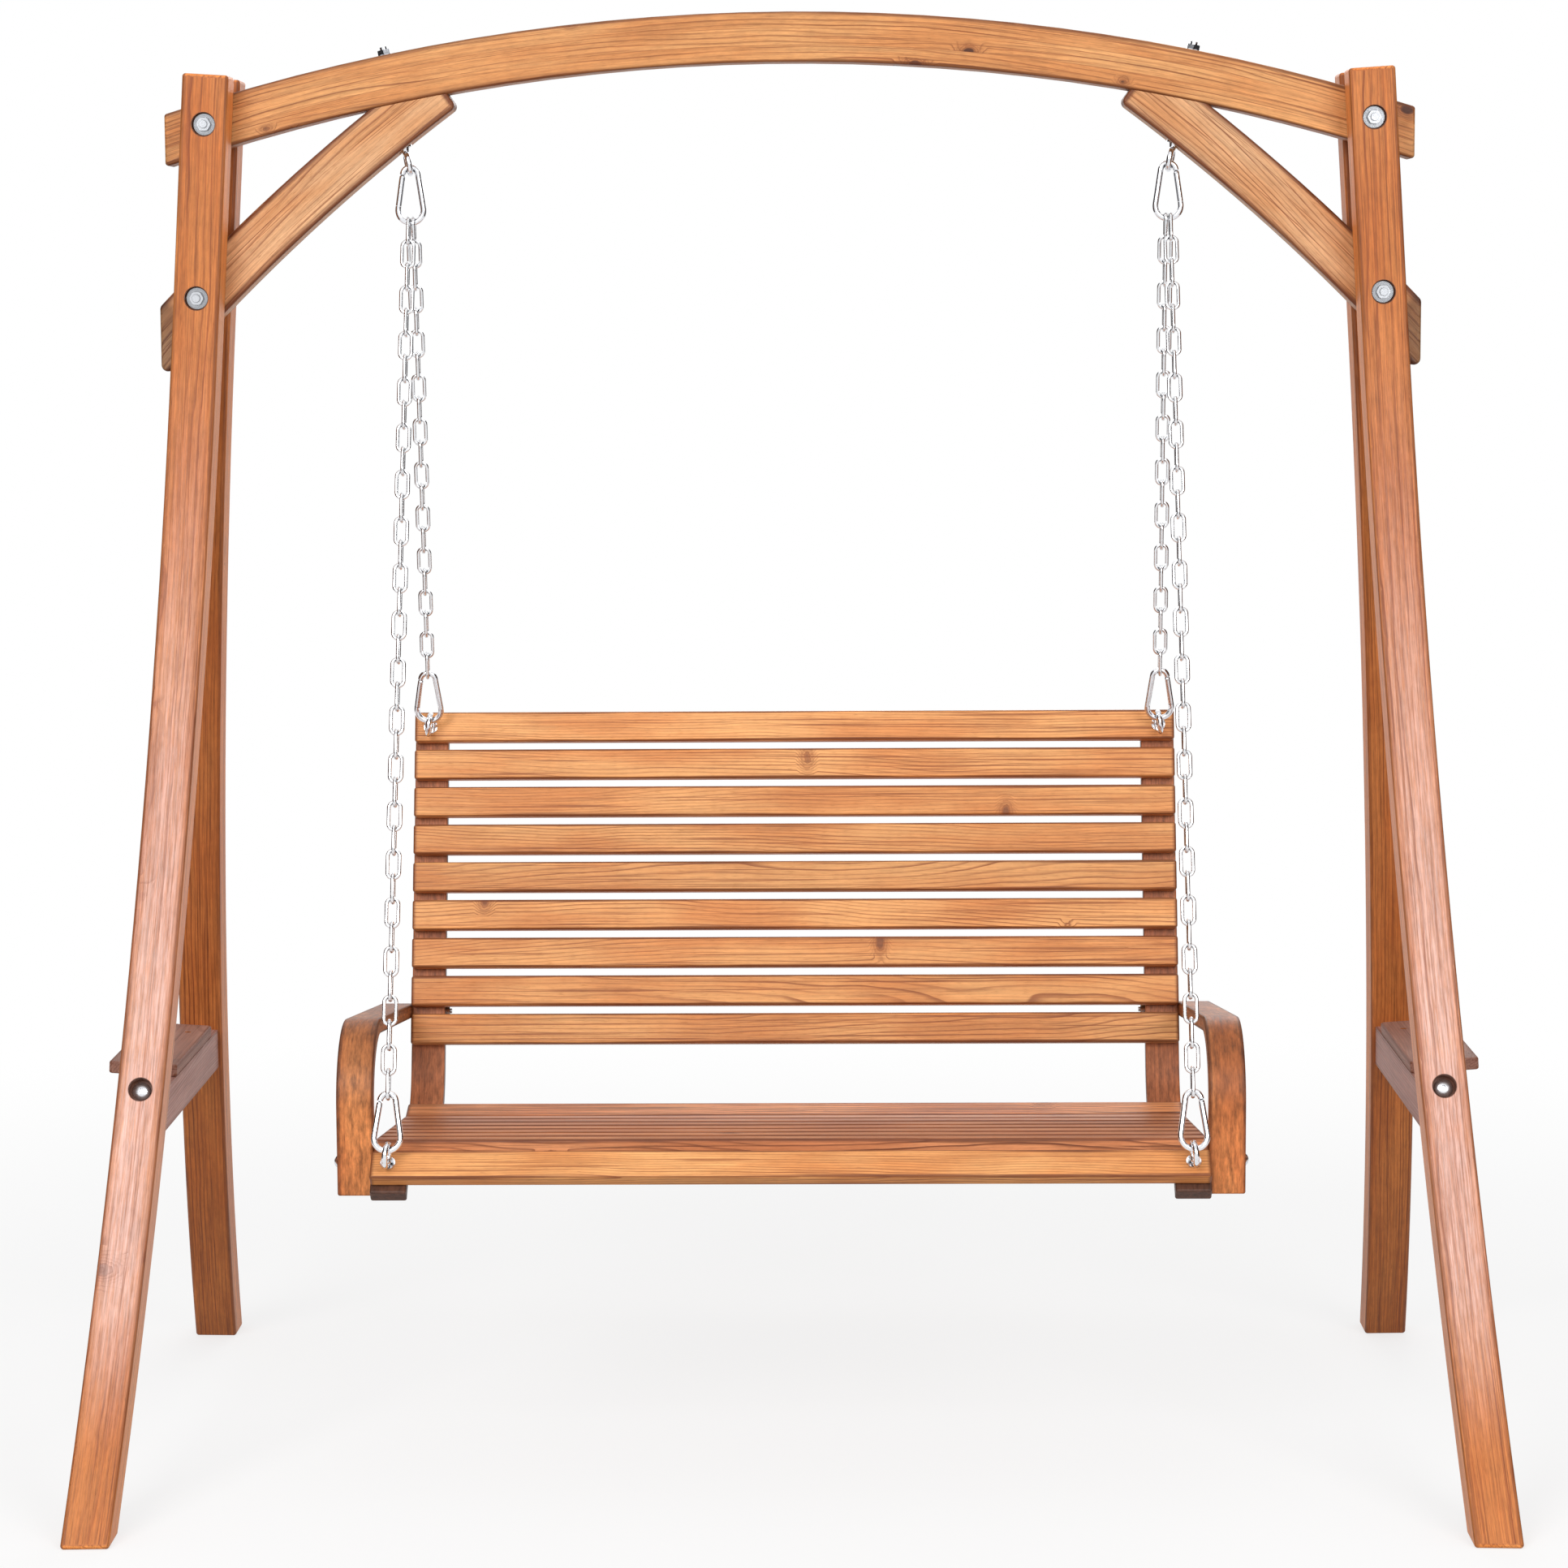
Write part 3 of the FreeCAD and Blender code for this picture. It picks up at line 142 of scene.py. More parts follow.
# Floor, flags, surround and lamps
WHITE = (1.0, 1.0, 1.0, 1.0)
FLOOR_HALF = 60.0
FLOOR_CLOUD = 0.0008
FLOOR_PALE, FLOOR_GREY = (0.90, 0.90, 0.90, 1.0), (0.87, 0.87, 0.87, 1.0)
FLOOR_BOUNCE = (0.40, 0.39, 0.38, 1.0)
FLOOR_SPECULAR = 0.1
FLOOR_GLOW_MM, FLOOR_GLOW = (1300.0, 3400.0), (0.72, 1.0)
MATT = 0.9
FLAG_COLOUR = (0.02, 0.02, 0.022, 1.0)
FLAG_OUT, FLAG_FRONT, FLAG_BACK, FLAG_TOP = 3.0, -2.6, 3.6, 3.6
SURROUND_SOFT, SURROUND_WHITE = 0.52, 1.0
LAMP_AIM = Vector((0.0, 0.0, 0.9))
LAMPS = (
    ("key", (-2.4, -5.2, 3.8), 2.6, 182.0),
    ("fill", (2.8, -5.0, 3.0), 2.6, 128.0),
    ("top", (0.0, -0.5, 5.5), 3.0, 20.0),
    ("back", (0.6, 5.4, 3.4), 2.6, 60.0),
)


def add_camera():
    yaw, pitch, roll = (math.radians(v) for v in (YAW, PITCH, ROLL))
    forward = Vector((math.sin(yaw) * math.cos(pitch), math.cos(yaw) * math.cos(pitch), math.sin(pitch)))
    level = Vector((math.cos(yaw), -math.sin(yaw), 0.0))
    rise = level.cross(forward)
    right = level * math.cos(roll) + rise * math.sin(roll)
    up = rise * math.cos(roll) - level * math.sin(roll)
    data = bpy.data.cameras.new("camera")
    data.sensor_fit = "HORIZONTAL"
    data.sensor_width = SENSOR_MM
    data.lens = SENSOR_MM * FOCAL_PX / PHOTO_PX
    camera = bpy.data.objects.new("camera", data)
    turned = Matrix((right, up, -forward)).transposed().to_4x4()
    camera.matrix_world = Matrix.Translation(CAMERA_AT) @ turned
    bpy.context.scene.collection.objects.link(camera)
    bpy.context.scene.camera = camera


class Graph:
    """Short calls that add nodes to one node tree and link them."""

    def __init__(self, tree):
        self.tree = tree

    def node(self, kind, **settings):
        made = self.tree.nodes.new(kind)
        for key, value in settings.items():
            setattr(made, key, value)
        return made

    def feed(self, socket, value):
        if isinstance(value, bpy.types.NodeSocket):
            self.tree.links.new(value, socket)
        else:
            socket.default_value = value

    def math(self, operation, *values):
        made = self.node("ShaderNodeMath", operation=operation)
        for socket, value in zip(made.inputs, values):
            self.feed(socket, value)
        return made.outputs[0]

    def add(self, a, b):
        return self.math("ADD", a, b)

    def sub(self, a, b):
        return self.math("SUBTRACT", a, b)

    def mul(self, a, b):
        return self.math("MULTIPLY", a, b)

    def absolute(self, a):
        return self.math("ABSOLUTE", a)

    def largest(self, a, b):
        return self.math("MAXIMUM", a, b)

    def root_of_squares(self, a, b):
        return self.math("SQRT", self.add(self.mul(a, a), self.mul(b, b)))

    def vector(self, x, y, z):
        made = self.node("ShaderNodeCombineXYZ")
        for socket, value in zip(made.inputs, (x, y, z)):
            self.feed(socket, value)
        return made.outputs[0]

    def place(self):
        """The point's own coordinates in millimetres."""
        source = self.node("ShaderNodeTexCoord").outputs["Object"]
        parts = self.node("ShaderNodeSeparateXYZ")
        self.feed(parts.inputs[0], self.scaled(source, TO_MM))
        return parts.outputs

    def noise(self, vector, detail=2.0, roughness=0.5):
        made = self.node("ShaderNodeTexNoise")
        self.feed(made.inputs["Vector"], vector)
        made.inputs["Scale"].default_value = 1.0
        made.inputs["Detail"].default_value = detail
        made.inputs["Roughness"].default_value = roughness
        return made.outputs[0]

    def pick(self, number):
        """A random value from 0 to 1 for each whole number."""
        made = self.node("ShaderNodeTexWhiteNoise", noise_dimensions="1D")
        self.feed(made.inputs["W"], number)
        return made.outputs["Value"]

    def between(self, value, low, high, out_low=0.0, out_high=1.0):
        made = self.node("ShaderNodeMapRange", interpolation_type="SMOOTHSTEP")
        for socket, given in zip(made.inputs, (value, low, high, out_low, out_high)):
            self.feed(socket, given)
        return made.outputs[0]

    def mix(self, factor, a, b):
        made = self.node("ShaderNodeMix", data_type="RGBA", blend_type="MIX")
        self.feed(made.inputs[0], factor)
        self.feed(made.inputs[6], a)
        self.feed(made.inputs[7], b)
        return made.outputs[2]

    def choose(self, factor, a, b):
        """a where the factor is 0, b where it is 1."""
        made = self.node("ShaderNodeMix", data_type="FLOAT")
        for socket, value in zip((made.inputs[0], made.inputs[2], made.inputs[3]), (factor, a, b)):
            self.feed(socket, value)
        return made.outputs[0]

    def scaled(self, colour, factor):
        made = self.node("ShaderNodeVectorMath", operation="SCALE")
        self.feed(made.inputs[0], colour)
        self.feed(made.inputs["Scale"], factor)
        return made.outputs[0]

    def own(self, name):
        """A number kept on the object itself."""
        return self.node("ShaderNodeAttribute", attribute_type="OBJECT", attribute_name=name).outputs["Fac"]

    def relief(self, shader, height, strength, distance):
        bump = self.node("ShaderNodeBump")
        bump.inputs["Strength"].default_value = strength
        bump.inputs["Distance"].default_value = distance
        self.feed(bump.inputs["Height"], height)
        self.feed(shader.inputs["Normal"], bump.outputs[0])


def new_material(name):
    material = bpy.data.materials.new(name)
    material.use_nodes = True
    material.node_tree.nodes.clear()
    graph = Graph(material.node_tree)
    shader = graph.node("ShaderNodeBsdfPrincipled")
    output = graph.node("ShaderNodeOutputMaterial")
    graph.feed(output.inputs["Surface"], shader.outputs[0])
    return material, graph, shader


# Grain spaces: distance along a board, offset across its bend and offset across its plane, in millimetres

def along_path(g, a, b, start, heading, runs):
    """Follows straights and bends, each given as length, radius and turn, through the plane of a and b."""
    along, across, travelled = 0.0, 0.0, 0.0
    for count, (length, radius, degrees) in enumerate(runs):
        turn = math.radians(heading)
        ahead = (math.cos(turn), math.sin(turn))
        left = (-ahead[1], ahead[0])
        da = g.add(a, -start[0])
        db = g.add(b, -start[1])
        forward = g.add(g.mul(da, ahead[0]), g.mul(db, ahead[1]))
        aside = g.add(g.mul(da, left[0]), g.mul(db, left[1]))
        if radius == 0.0:
            here, offset = g.add(forward, travelled), aside
            step = (length, 0.0)
        else:
            way = math.copysign(1.0, degrees)
            swept = math.radians(abs(degrees))
            inward = g.sub(radius, g.mul(aside, way))
            reach = g.root_of_squares(inward, forward)
            angle = g.math("ARCTAN2", forward, inward)
            here = g.add(g.mul(angle, radius), travelled)
            offset = g.mul(g.sub(radius, reach), way)
            length = radius * swept
            step = (radius * math.sin(swept), way * radius * (1.0 - math.cos(swept)))
            heading += degrees
        start = tuple(start[i] + ahead[i] * step[0] + left[i] * step[1] for i in (0, 1))
        if count == 0:
            along, across = here, offset
        else:
            beyond = g.math("GREATER_THAN", forward, 0.0)
            along = g.choose(beyond, along, here)
            across = g.choose(beyond, across, offset)
        travelled += length
    return along, across


def leaned_space(g):
    """Out from the middle of a leaning side and up along it."""
    place = g.place()
    out = g.add(g.absolute(place[0]), -FOOT_SPACING / 2)
    sine, cosine = math.sin(math.radians(LEAN)), math.cos(math.radians(LEAN))
    aside = g.add(g.mul(out, cosine), g.mul(place[2], sine))
    return aside, g.sub(g.mul(place[2], cosine), g.mul(out, sine))


def leg_space(g):
    aside, up = leaned_space(g)
    runs = ((LEG_STRAIGHT, 0.0, 0.0), (0.0, LEG_BEND_RADIUS, LEG_BEND))
    along, across = along_path(g, g.absolute(g.place()[1]), up, (LEG_MID_Y, LEG_LENGTH), LEG_HEADING, runs)
    return along, across, aside


def beam_space(g):
    x, y, z = g.place()
    runs = ((0.0, BEND_RADIUS, -BEAM_BEND),)
    along, across = along_path(g, x, z, (0.0, BEAM_CENTRE_Z + BEND_RADIUS), 0.0, runs)
    return along, across, y


def brace_space(g):
    x, y, z = g.place()
    runs = ((0.0, BEND_RADIUS, BRACE_BEND),)
    along, across = along_path(g, g.absolute(x), z, BRACE_BOLT, 180.0 - BRACE_ANGLE, runs)
    return along, across, y


def rail_space(g):
    x, y, z = g.place()
    along, across = along_path(g, y, z, RAIL_START, RAIL_HEADING, RAIL_RUNS)
    return along, across, g.sub(g.absolute(x), RAIL_X)


def arm_space(g):
    x, y, z = g.place()
    along, across = along_path(g, y, z, ARM_START, ARM_HEADING, ARM_RUNS)
    return along, across, g.sub(g.absolute(x), ARM_X)


def slat_space(g):
    """Along a slat, then through it and across it, square to the way its broad face looks."""
    x, y, z = g.place()
    y = g.sub(y, g.own("middle_y"))
    z = g.sub(z, g.own("middle_z"))
    face_y, face_z = g.own("face_y"), g.own("face_z")
    through = g.add(g.mul(y, face_y), g.mul(z, face_z))
    return x, through, g.sub(g.mul(y, face_z), g.mul(z, face_y))


def stretcher_space(g):
    aside, up = leaned_space(g)
    return g.place()[1], aside, g.add(up, -STRETCHER_MIDDLE)


def board_space(g):
    aside, up = leaned_space(g)
    return g.place()[1], g.add(up, -BOARD_MIDDLE), g.add(aside, -BOARD_OUT)


class Timber:
    """A wood material in the making: its node graph, grain space and look."""

    def __init__(self, g, space, look):
        self.g = g
        self.look = look
        self.u, self.p, self.q = space(g)
        self.tone = g.own("tone")
        self.far = g.mul(g.own("seed"), SEED_REACH)
        self.glue = self.split_layers() if look["layer"] else 0.0

    def split_layers(self):
        """Gives each glued layer its own grain and tone, and returns the dark glue lines between them."""
        g, look = self.g, self.look
        stack = g.add(g.mul(self.p, 1.0 / look["layer"]), look["layer_shift"])
        pick = g.pick(g.add(g.math("FLOOR", stack), self.far))
        self.far = g.add(self.far, g.mul(pick, LAYER_REACH))
        self.tone = g.add(self.tone, g.mul(g.add(pick, -MIDDLE), look["layer_tone"]))
        seam = g.absolute(g.add(g.math("FRACT", stack), -MIDDLE))
        return g.between(g.mul(g.sub(MIDDLE, seam), look["layer"]), *GLUE_RANGE, 1.0, 0.0)

    def field(self, name):
        u_size, cross_size, detail, shift, roughness = FIELDS[name]
        g = self.g
        lengthwise = g.add(g.mul(self.u, 1.0 / u_size), g.add(self.far, shift))
        crosswise = (g.mul(self.p, 1.0 / cross_size), g.mul(self.q, 1.0 / cross_size))
        return g.noise(g.vector(lengthwise, *crosswise), detail, roughness)

    def swing(self, field, depth):
        """A field from 0 to 1 as a swing about 0."""
        return self.g.mul(self.g.add(field, -MIDDLE), depth)

    def knots(self):
        """One place in each long cell, kept only in some: the knot, the swirl about it and the distance from it."""
        g, look = self.g, self.look
        cell = look["knot_cell"]
        lengthwise = g.add(g.mul(self.u, 1.0 / cell[0]), self.far)
        cells = g.vector(lengthwise, g.mul(self.p, 1.0 / cell[1]), g.mul(self.q, 1.0 / cell[1]))
        spots = g.node("ShaderNodeTexVoronoi", voronoi_dimensions="3D", feature="F1")
        g.feed(spots.inputs["Vector"], cells)
        spots.inputs["Scale"].default_value = 1.0
        spots.inputs["Randomness"].default_value = KNOT_RANDOMNESS
        away = g.node("ShaderNodeVectorMath", operation="SUBTRACT")
        g.feed(away.inputs[0], cells)
        g.feed(away.inputs[1], spots.outputs["Position"])
        apart = g.node("ShaderNodeSeparateXYZ")
        g.feed(apart.inputs[0], away.outputs[0])
        du = g.mul(apart.outputs[0], cell[0] / KNOT_LENGTHWISE)
        dp = g.mul(apart.outputs[1], cell[1])
        dq = g.mul(apart.outputs[2], cell[1] * KNOT_ACROSS)
        distance = g.math("SQRT", g.add(g.mul(du, du), g.add(g.mul(dp, dp), g.mul(dq, dq))))
        distance = g.add(distance, self.swing(self.field("knot_rim"), KNOT_UNEVEN))
        chance = g.node("ShaderNodeSeparateColor")
        g.feed(chance.inputs[0], spots.outputs["Color"])
        kept = g.math("GREATER_THAN", chance.outputs[0], 1.0 - look["knots"])
        least, more = (look["knot_mm"] * share for share in KNOT_SIZES)
        share = g.math("DIVIDE", distance, g.add(g.mul(chance.outputs[1], more), least))
        knot = g.mul(g.between(share, *KNOT_CORE, 1.0, 0.0), kept)
        halo = g.mul(g.between(share, *KNOT_HALO, 1.0, 0.0), kept)
        return knot, halo, distance

    def rings(self, halo, knot_distance):
        """Dark late wood of the growth rings about a tilted pith, turned aside by knots."""
        g, look = self.g, self.look
        wander = self.swing(self.field("wander"), look["wander"])
        ripple = self.swing(self.field("ripple"), look["ripple"])
        ring_p = g.add(g.add(self.p, g.own("pith_p")), g.mul(self.u, look["tilt"]))
        distance = g.root_of_squares(ring_p, g.add(self.q, g.own("pith_q")))
        pushed = g.add(ripple, g.mul(halo, look["knot_mm"] * KNOT_PUSH))
        phase = g.mul(g.add(g.add(distance, wander), pushed), 1.0 / look["ring"])
        inside = g.math("FRACT", phase)
        strength = g.between(g.pick(g.add(g.math("FLOOR", phase), self.far)), 0.0, 1.0, FAINTEST_RING, 1.0)
        late = g.mul(g.between(inside, look["late_from"], LATE_TO), g.between(inside, *LATE_END, 1.0, 0.0))
        zone = g.between(self.field("zone"), *ZONE_RANGE, 1.0 - look["zones"], 1.0)
        late = g.mul(late, g.mul(strength, zone))
        knot_rings = g.math("FRACT", g.mul(knot_distance, KNOT_RINGS))
        return g.choose(halo, late, g.largest(late, g.mul(knot_rings, halo)))

    def painted_sheen(self, late, lines, streak):
        """Where the painted sheen lies: low on the leg, off the dark lines and away from the edges."""
        g, look = self.g, self.look
        height = g.place()[2]
        low = g.mul(g.between(height, *SHEEN_FROM), g.between(height, *SHEEN_FOOT))
        sheen_noise = g.add(g.mul(self.field("sheen_noise"), SHEEN_NOISE_SHARE), g.mul(streak, STREAK_SHARE))
        sheen_amount = g.mul(low, g.between(sheen_noise, *SHEEN_RANGE, SHEEN_LEAST, 1.0))
        sheen_amount = g.mul(sheen_amount, g.sub(1.0, g.mul(g.largest(late, lines), SHEEN_IN_LINES)))
        inward = g.add(g.sub(look["half"][1], g.absolute(self.q)), g.mul(streak, SHEEN_EDGE_UNEVEN))
        return g.mul(sheen_amount, g.between(inward, *SHEEN_EDGE, SHEEN_EDGE_LEAST, 1.0))

    def dark_edges(self, uneven):
        """Dark stain that gathers along the four long edges of a board and at its ends, partly painted shade along the
        edges.
        """
        g, look = self.g, self.look
        short_p = g.sub(look["half"][0], g.absolute(self.p))
        short_q = g.sub(look["half"][1], g.absolute(self.q))
        distance = g.add(g.largest(short_p, short_q), self.swing(uneven, EDGE_UNEVEN))
        edges = g.between(distance, EDGE_FULL, look["edge_mm"], 1.0, 0.0)
        if look["end_from"]:
            ends = g.between(self.u, look["end_from"], look["end_from"] + END_FADE)
        else:
            ends = g.between(g.absolute(self.u), *(g.add(g.own("half_u"), short) for short in SLAT_END))
        return g.largest(edges, ends)

    def painted_bore_shade(self):
        """Painted shade in the bolt pockets of the legs and on their rims, on the outer half of a leg alone."""
        g = self.g
        nearest = FAR_AWAY
        for middle in BORES:
            nearest = g.math("MINIMUM", nearest, g.root_of_squares(g.add(self.u, -middle), self.q))
        rims = g.between(nearest, BORE_RADIUS, BORE_RADIUS + BORE_SHADE_WIDTH, BORE_SHADE_STRENGTH, 0.0)
        return g.mul(rims, g.math("GREATER_THAN", self.p, 0.0))

    def shade(self, fibre, streak):
        """Light and dark of the fibres, patches and tone, as a factor about 1; the back slats' tone holds painted
        light, and the fade is painted shade on the arm's bend and, with some stain, on the ends of the beam and brace.
        """
        g, look = self.g, self.look
        shade = g.add(self.swing(fibre, look["fibre"]), self.swing(streak, look["streak"]))
        shade = g.add(shade, self.swing(self.field("patch"), look["patch"]))
        shade = g.add(shade, self.swing(self.field("mottle"), look["mottle"]))
        shade = g.add(g.add(shade, 1.0), g.mul(self.tone, TONE_DEPTH))
        # Painted shade, partly stain: the fade darkens the arm's bend and the ends of the beam and brace
        if look["fade"]:
            begin, finish, left = look["fade"]
            reach = g.absolute(self.u) if look["two_ended"] else self.u
            shade = g.mul(shade, g.between(reach, begin, finish, 1.0, left))
        return shade


def wood(name, space, look):
    """Stained softwood: growth rings about a tilted pith, fibres, knots and uneven stain."""
    material, g, shader = new_material(name)
    timber = Timber(g, space, look)
    knot, halo, knot_distance = timber.knots()
    late = timber.rings(halo, knot_distance)
    fibre, streak = timber.field("fibre"), timber.field("streak")
    pores = g.between(timber.field("pores"), *PORE_RANGE)
    lines = g.between(timber.field("lines"), *LINE_RANGE)

    colour = g.mix(g.between(timber.field("blotch"), *BLOTCH_RANGE), look["light"], look["warm"])
    colour = g.mix(g.mul(late, look["contrast"]), colour, look["late"])
    colour = g.mix(g.mul(pores, look["pores"]), colour, look["late"])
    colour = g.mix(g.mul(lines, look["lines"]), colour, look["late"])
    colour = g.mix(g.mul(halo, HALO_STAIN), colour, look["late"])
    colour = g.mix(knot, colour, look["knot"])
    colour = g.mix(g.mul(timber.glue, GLUE_STAIN), colour, look["late"])
    # Painted sheen: a pale pinkish glow low on the front legs, in place of the gloss of their finish
    if look["sheen"]:
        sheen_amount = timber.painted_sheen(late, lines, streak)
        colour = g.mix(g.mul(sheen_amount, look["sheen"]), colour, look["sheen_colour"])
    # Dark edges and ends: stain and painted shade
    colour = g.mix(g.mul(timber.dark_edges(streak), look["edge"]), colour, look["edge_colour"])
    # Painted shade in the legs' bolt pockets, in the dark knot colour
    if look["bores"]:
        colour = g.mix(timber.painted_bore_shade(), colour, look["knot"])
    g.feed(shader.inputs["Base Color"], g.scaled(colour, timber.shade(fibre, streak)))

    rough = g.add(g.mul(fibre, FIBRE_ROUGH), g.mul(late, LATE_ROUGH))
    g.feed(shader.inputs["Roughness"], g.add(rough, look["rough"]))
    shader.inputs["Specular IOR Level"].default_value = WOOD_SPECULAR
    shader.inputs["Coat Weight"].default_value = look["coat"]
    shader.inputs["Coat Roughness"].default_value = COAT_ROUGH
    height = g.add(g.mul(late, LATE_RELIEF), g.add(g.mul(fibre, FIBRE_RELIEF), g.mul(pores, PORE_RELIEF)))
    g.relief(shader, g.add(height, g.mul(knot, KNOT_RELIEF)), look["bump"], WOOD_RELIEF_M)
    return material


def steel(name, colour, rough, spangle, crease_mm, open_from=CREASE_OPEN):
    """Bright zinc on steel: a soft mottle, slightly uneven gloss and painted shade in the creases."""
    material, g, shader = new_material(name)
    place = g.place()
    fine = g.noise(g.vector(*(g.mul(way, ZINC_FINE) for way in place)), FINE_DETAIL, FINE_ROUGHNESS)
    wide = g.noise(g.vector(*(g.mul(way, ZINC_WIDE) for way in place)))
    dull = tuple(channel * DULL_SHARE for channel in colour[:3]) + (1.0,)
    mottle = g.add(g.mul(fine, FINE_SHARE), g.mul(wide, WIDE_SHARE))
    zinc = g.mix(g.between(mottle, *MOTTLE_RANGE, 0.0, spangle), colour, dull)
    # Painted shade: the zinc darkens towards a near-black where ambient occlusion finds a crease
    crease = g.node("ShaderNodeAmbientOcclusion", samples=CREASE_SAMPLES)
    crease.inputs["Distance"].default_value = crease_mm / TO_MM
    crease_shade = g.between(crease.outputs["AO"], open_from, open_from + CREASE_SPAN, CREASE_SHADE, 0.0)
    g.feed(shader.inputs["Base Color"], g.mix(crease_shade, zinc, CREASE_SHADE_COLOUR))
    shader.inputs["Metallic"].default_value = 1.0
    g.feed(shader.inputs["Roughness"], g.between(mottle, *GLOSS_RANGE, rough, rough + GLOSS_SPAN))
    g.relief(shader, fine, ZINC_BUMP, ZINC_RELIEF_M)
    return material


# Looks of the wood: colours, sizes in millimetres and strengths
BASE_LOOK = {
    "light": (0.76, 0.365, 0.118, 1.0), "warm": (0.63, 0.245, 0.066, 1.0), "late": (0.25, 0.064, 0.016, 1.0),
    "knot": (0.09, 0.024, 0.008, 1.0), "sheen_colour": (0.80, 0.51, 0.44, 1.0), "edge_colour": (0.16, 0.040, 0.012, 1.0),
    "ring": 3.6, "late_from": 0.55, "wander": 40.0, "ripple": 3.6, "tilt": 0.012, "contrast": 0.85, "zones": 0.45,
    "pores": 0.45, "lines": 0.75, "fibre": 0.62, "streak": 0.42, "patch": 0.16, "mottle": 0.25,
    "rough": 0.40, "coat": 0.05, "bump": 0.4,
    # knot_cell is the room of one knot, along and across
    "knots": 0.16, "knot_cell": (260.0, 70.0), "knot_mm": 9.0,
    # half is half a board's thickness and width; fade dims the wood from one place along it to another, as painted
    # shade with some stain
    "half": (10.0, 22.0), "edge": 0.75, "edge_mm": 6.5, "end_from": 0.0, "fade": None, "two_ended": False,
    "layer": 0.0, "layer_shift": 0.5, "layer_tone": 1.2, "sheen": 0.0, "bores": False,
}


def look(**changes):
    return {**BASE_LOOK, **changes}


LEG_LOOK = look(
    light=(0.90, 0.330, 0.090, 1.0), warm=(0.76, 0.235, 0.052, 1.0), late=(0.27, 0.062, 0.014, 1.0),
    ring=4.2, knots=0.08, half=(28.0, 31.5), edge=0.7, contrast=1.0, zones=0.75, lines=0.6, fibre=1.1, mottle=0.5,
    tilt=0.004, wander=22.0, bores=True, layer=14.0, layer_shift=0.0, layer_tone=0.6)
# The rear legs take a darker copy of the leg wood: partly painted shade, as they stand further back from the lamps
REAR_LEG_LOOK = {
    **LEG_LOOK, "light": (0.88, 0.305, 0.078, 1.0), "warm": (0.72, 0.212, 0.047, 1.0),
    "late": (0.20, 0.046, 0.011, 1.0), "lines": 0.8, "zones": 0.55}
WOODS = {
    # The front legs carry the painted sheen
    "leg": wood("leg_larch", leg_space, {**LEG_LOOK, "sheen": 0.9}),
    "rear_leg": wood("rear_leg_larch", leg_space, REAR_LEG_LOOK),
    "beam": wood("beam_larch", beam_space, look(
        light=(0.83, 0.395, 0.145, 1.0), warm=(0.71, 0.284, 0.089, 1.0), ring=4.4, contrast=0.9, zones=0.7,
        lines=0.7, tilt=0.006, fade=(862.0, 896.0, 0.45), two_ended=True, mottle=0.4, half=(34.0, 25.0),
        layer=22.7, knots=0.3, knot_mm=6.0, knot_cell=(300.0, 30.0))),
    "brace": wood("brace_larch", brace_space, look(
        light=(0.79, 0.442, 0.225, 1.0), warm=(0.66, 0.292, 0.112, 1.0), ring=5.4, contrast=1.0, zones=0.75,
        tilt=0.06, bump=0.6, knots=0.04, fade=(-28.0, -44.0, 0.48), half=(35.0, 25.0), edge=0.95, edge_mm=11.0,
        end_from=430.0)),
    # The rail's bent front end, from end_from on, and its edges take a near-black: painted shade under the front slat,
    # with some end-grain stain
    "rail": wood("rail_larch", rail_space, look(
        light=(0.42, 0.145, 0.058, 1.0), warm=(0.31, 0.095, 0.035, 1.0), late=(0.10, 0.028, 0.011, 1.0),
        half=(10.0, 24.0), layer=5.0, layer_tone=0.8, end_from=1034.0, mottle=2.0, lines=0.2, contrast=0.35,
        edge=0.9, edge_colour=(0.065, 0.030, 0.021, 1.0))),
    "arm": wood("arm_larch", arm_space, look(
        light=(0.84, 0.302, 0.096, 1.0), warm=(0.54, 0.160, 0.046, 1.0), ring=4.0, contrast=0.2, lines=0.2,
        patch=0.4, mottle=2.2, fade=(40.0, 210.0, 0.48), streak=0.5, pores=0.8, knots=0.02, wander=70.0,
        half=(10.0, 24.5), layer=5.0, layer_tone=0.3)),
    "slat": wood("slat_larch", slat_space, look(
        light=(0.79, 0.380, 0.140, 1.0), warm=(0.65, 0.250, 0.077, 1.0), knots=0.6, knot_mm=6.0,
        knot=(0.24, 0.080, 0.030, 1.0), tilt=0.02, edge=0.85, edge_mm=4.4)),
    # The seat wood is a darker copy of the slat wood, partly painted shade of the seat's tops that the light grazes
    "seat": wood("seat_larch", slat_space, look(
        light=(0.70, 0.288, 0.122, 1.0), warm=(0.53, 0.184, 0.070, 1.0), late=(0.15, 0.040, 0.015, 1.0),
        knots=0.1, edge=0.9, fibre=1.0, streak=1.0, contrast=1.0, lines=0.9)),
    "stretcher": wood("stretcher_larch", stretcher_space, look(
        light=(0.50, 0.265, 0.222, 1.0), warm=(0.39, 0.190, 0.153, 1.0), late=(0.68, 0.465, 0.415, 1.0),
        half=(25.0, 30.0), edge=0.3, contrast=0.55, pores=0.15, lines=0.3, knots=0.0, bump=0.6, rough=0.5,
        coat=0.0)),
    "board": wood("board_larch", board_space, look(
        light=(0.40, 0.205, 0.150, 1.0), warm=(0.29, 0.130, 0.090, 1.0), late=(0.12, 0.044, 0.030, 1.0),
        half=(8.5, 47.0), contrast=0.8, bump=0.6, rough=0.5, coat=0.0)),
}
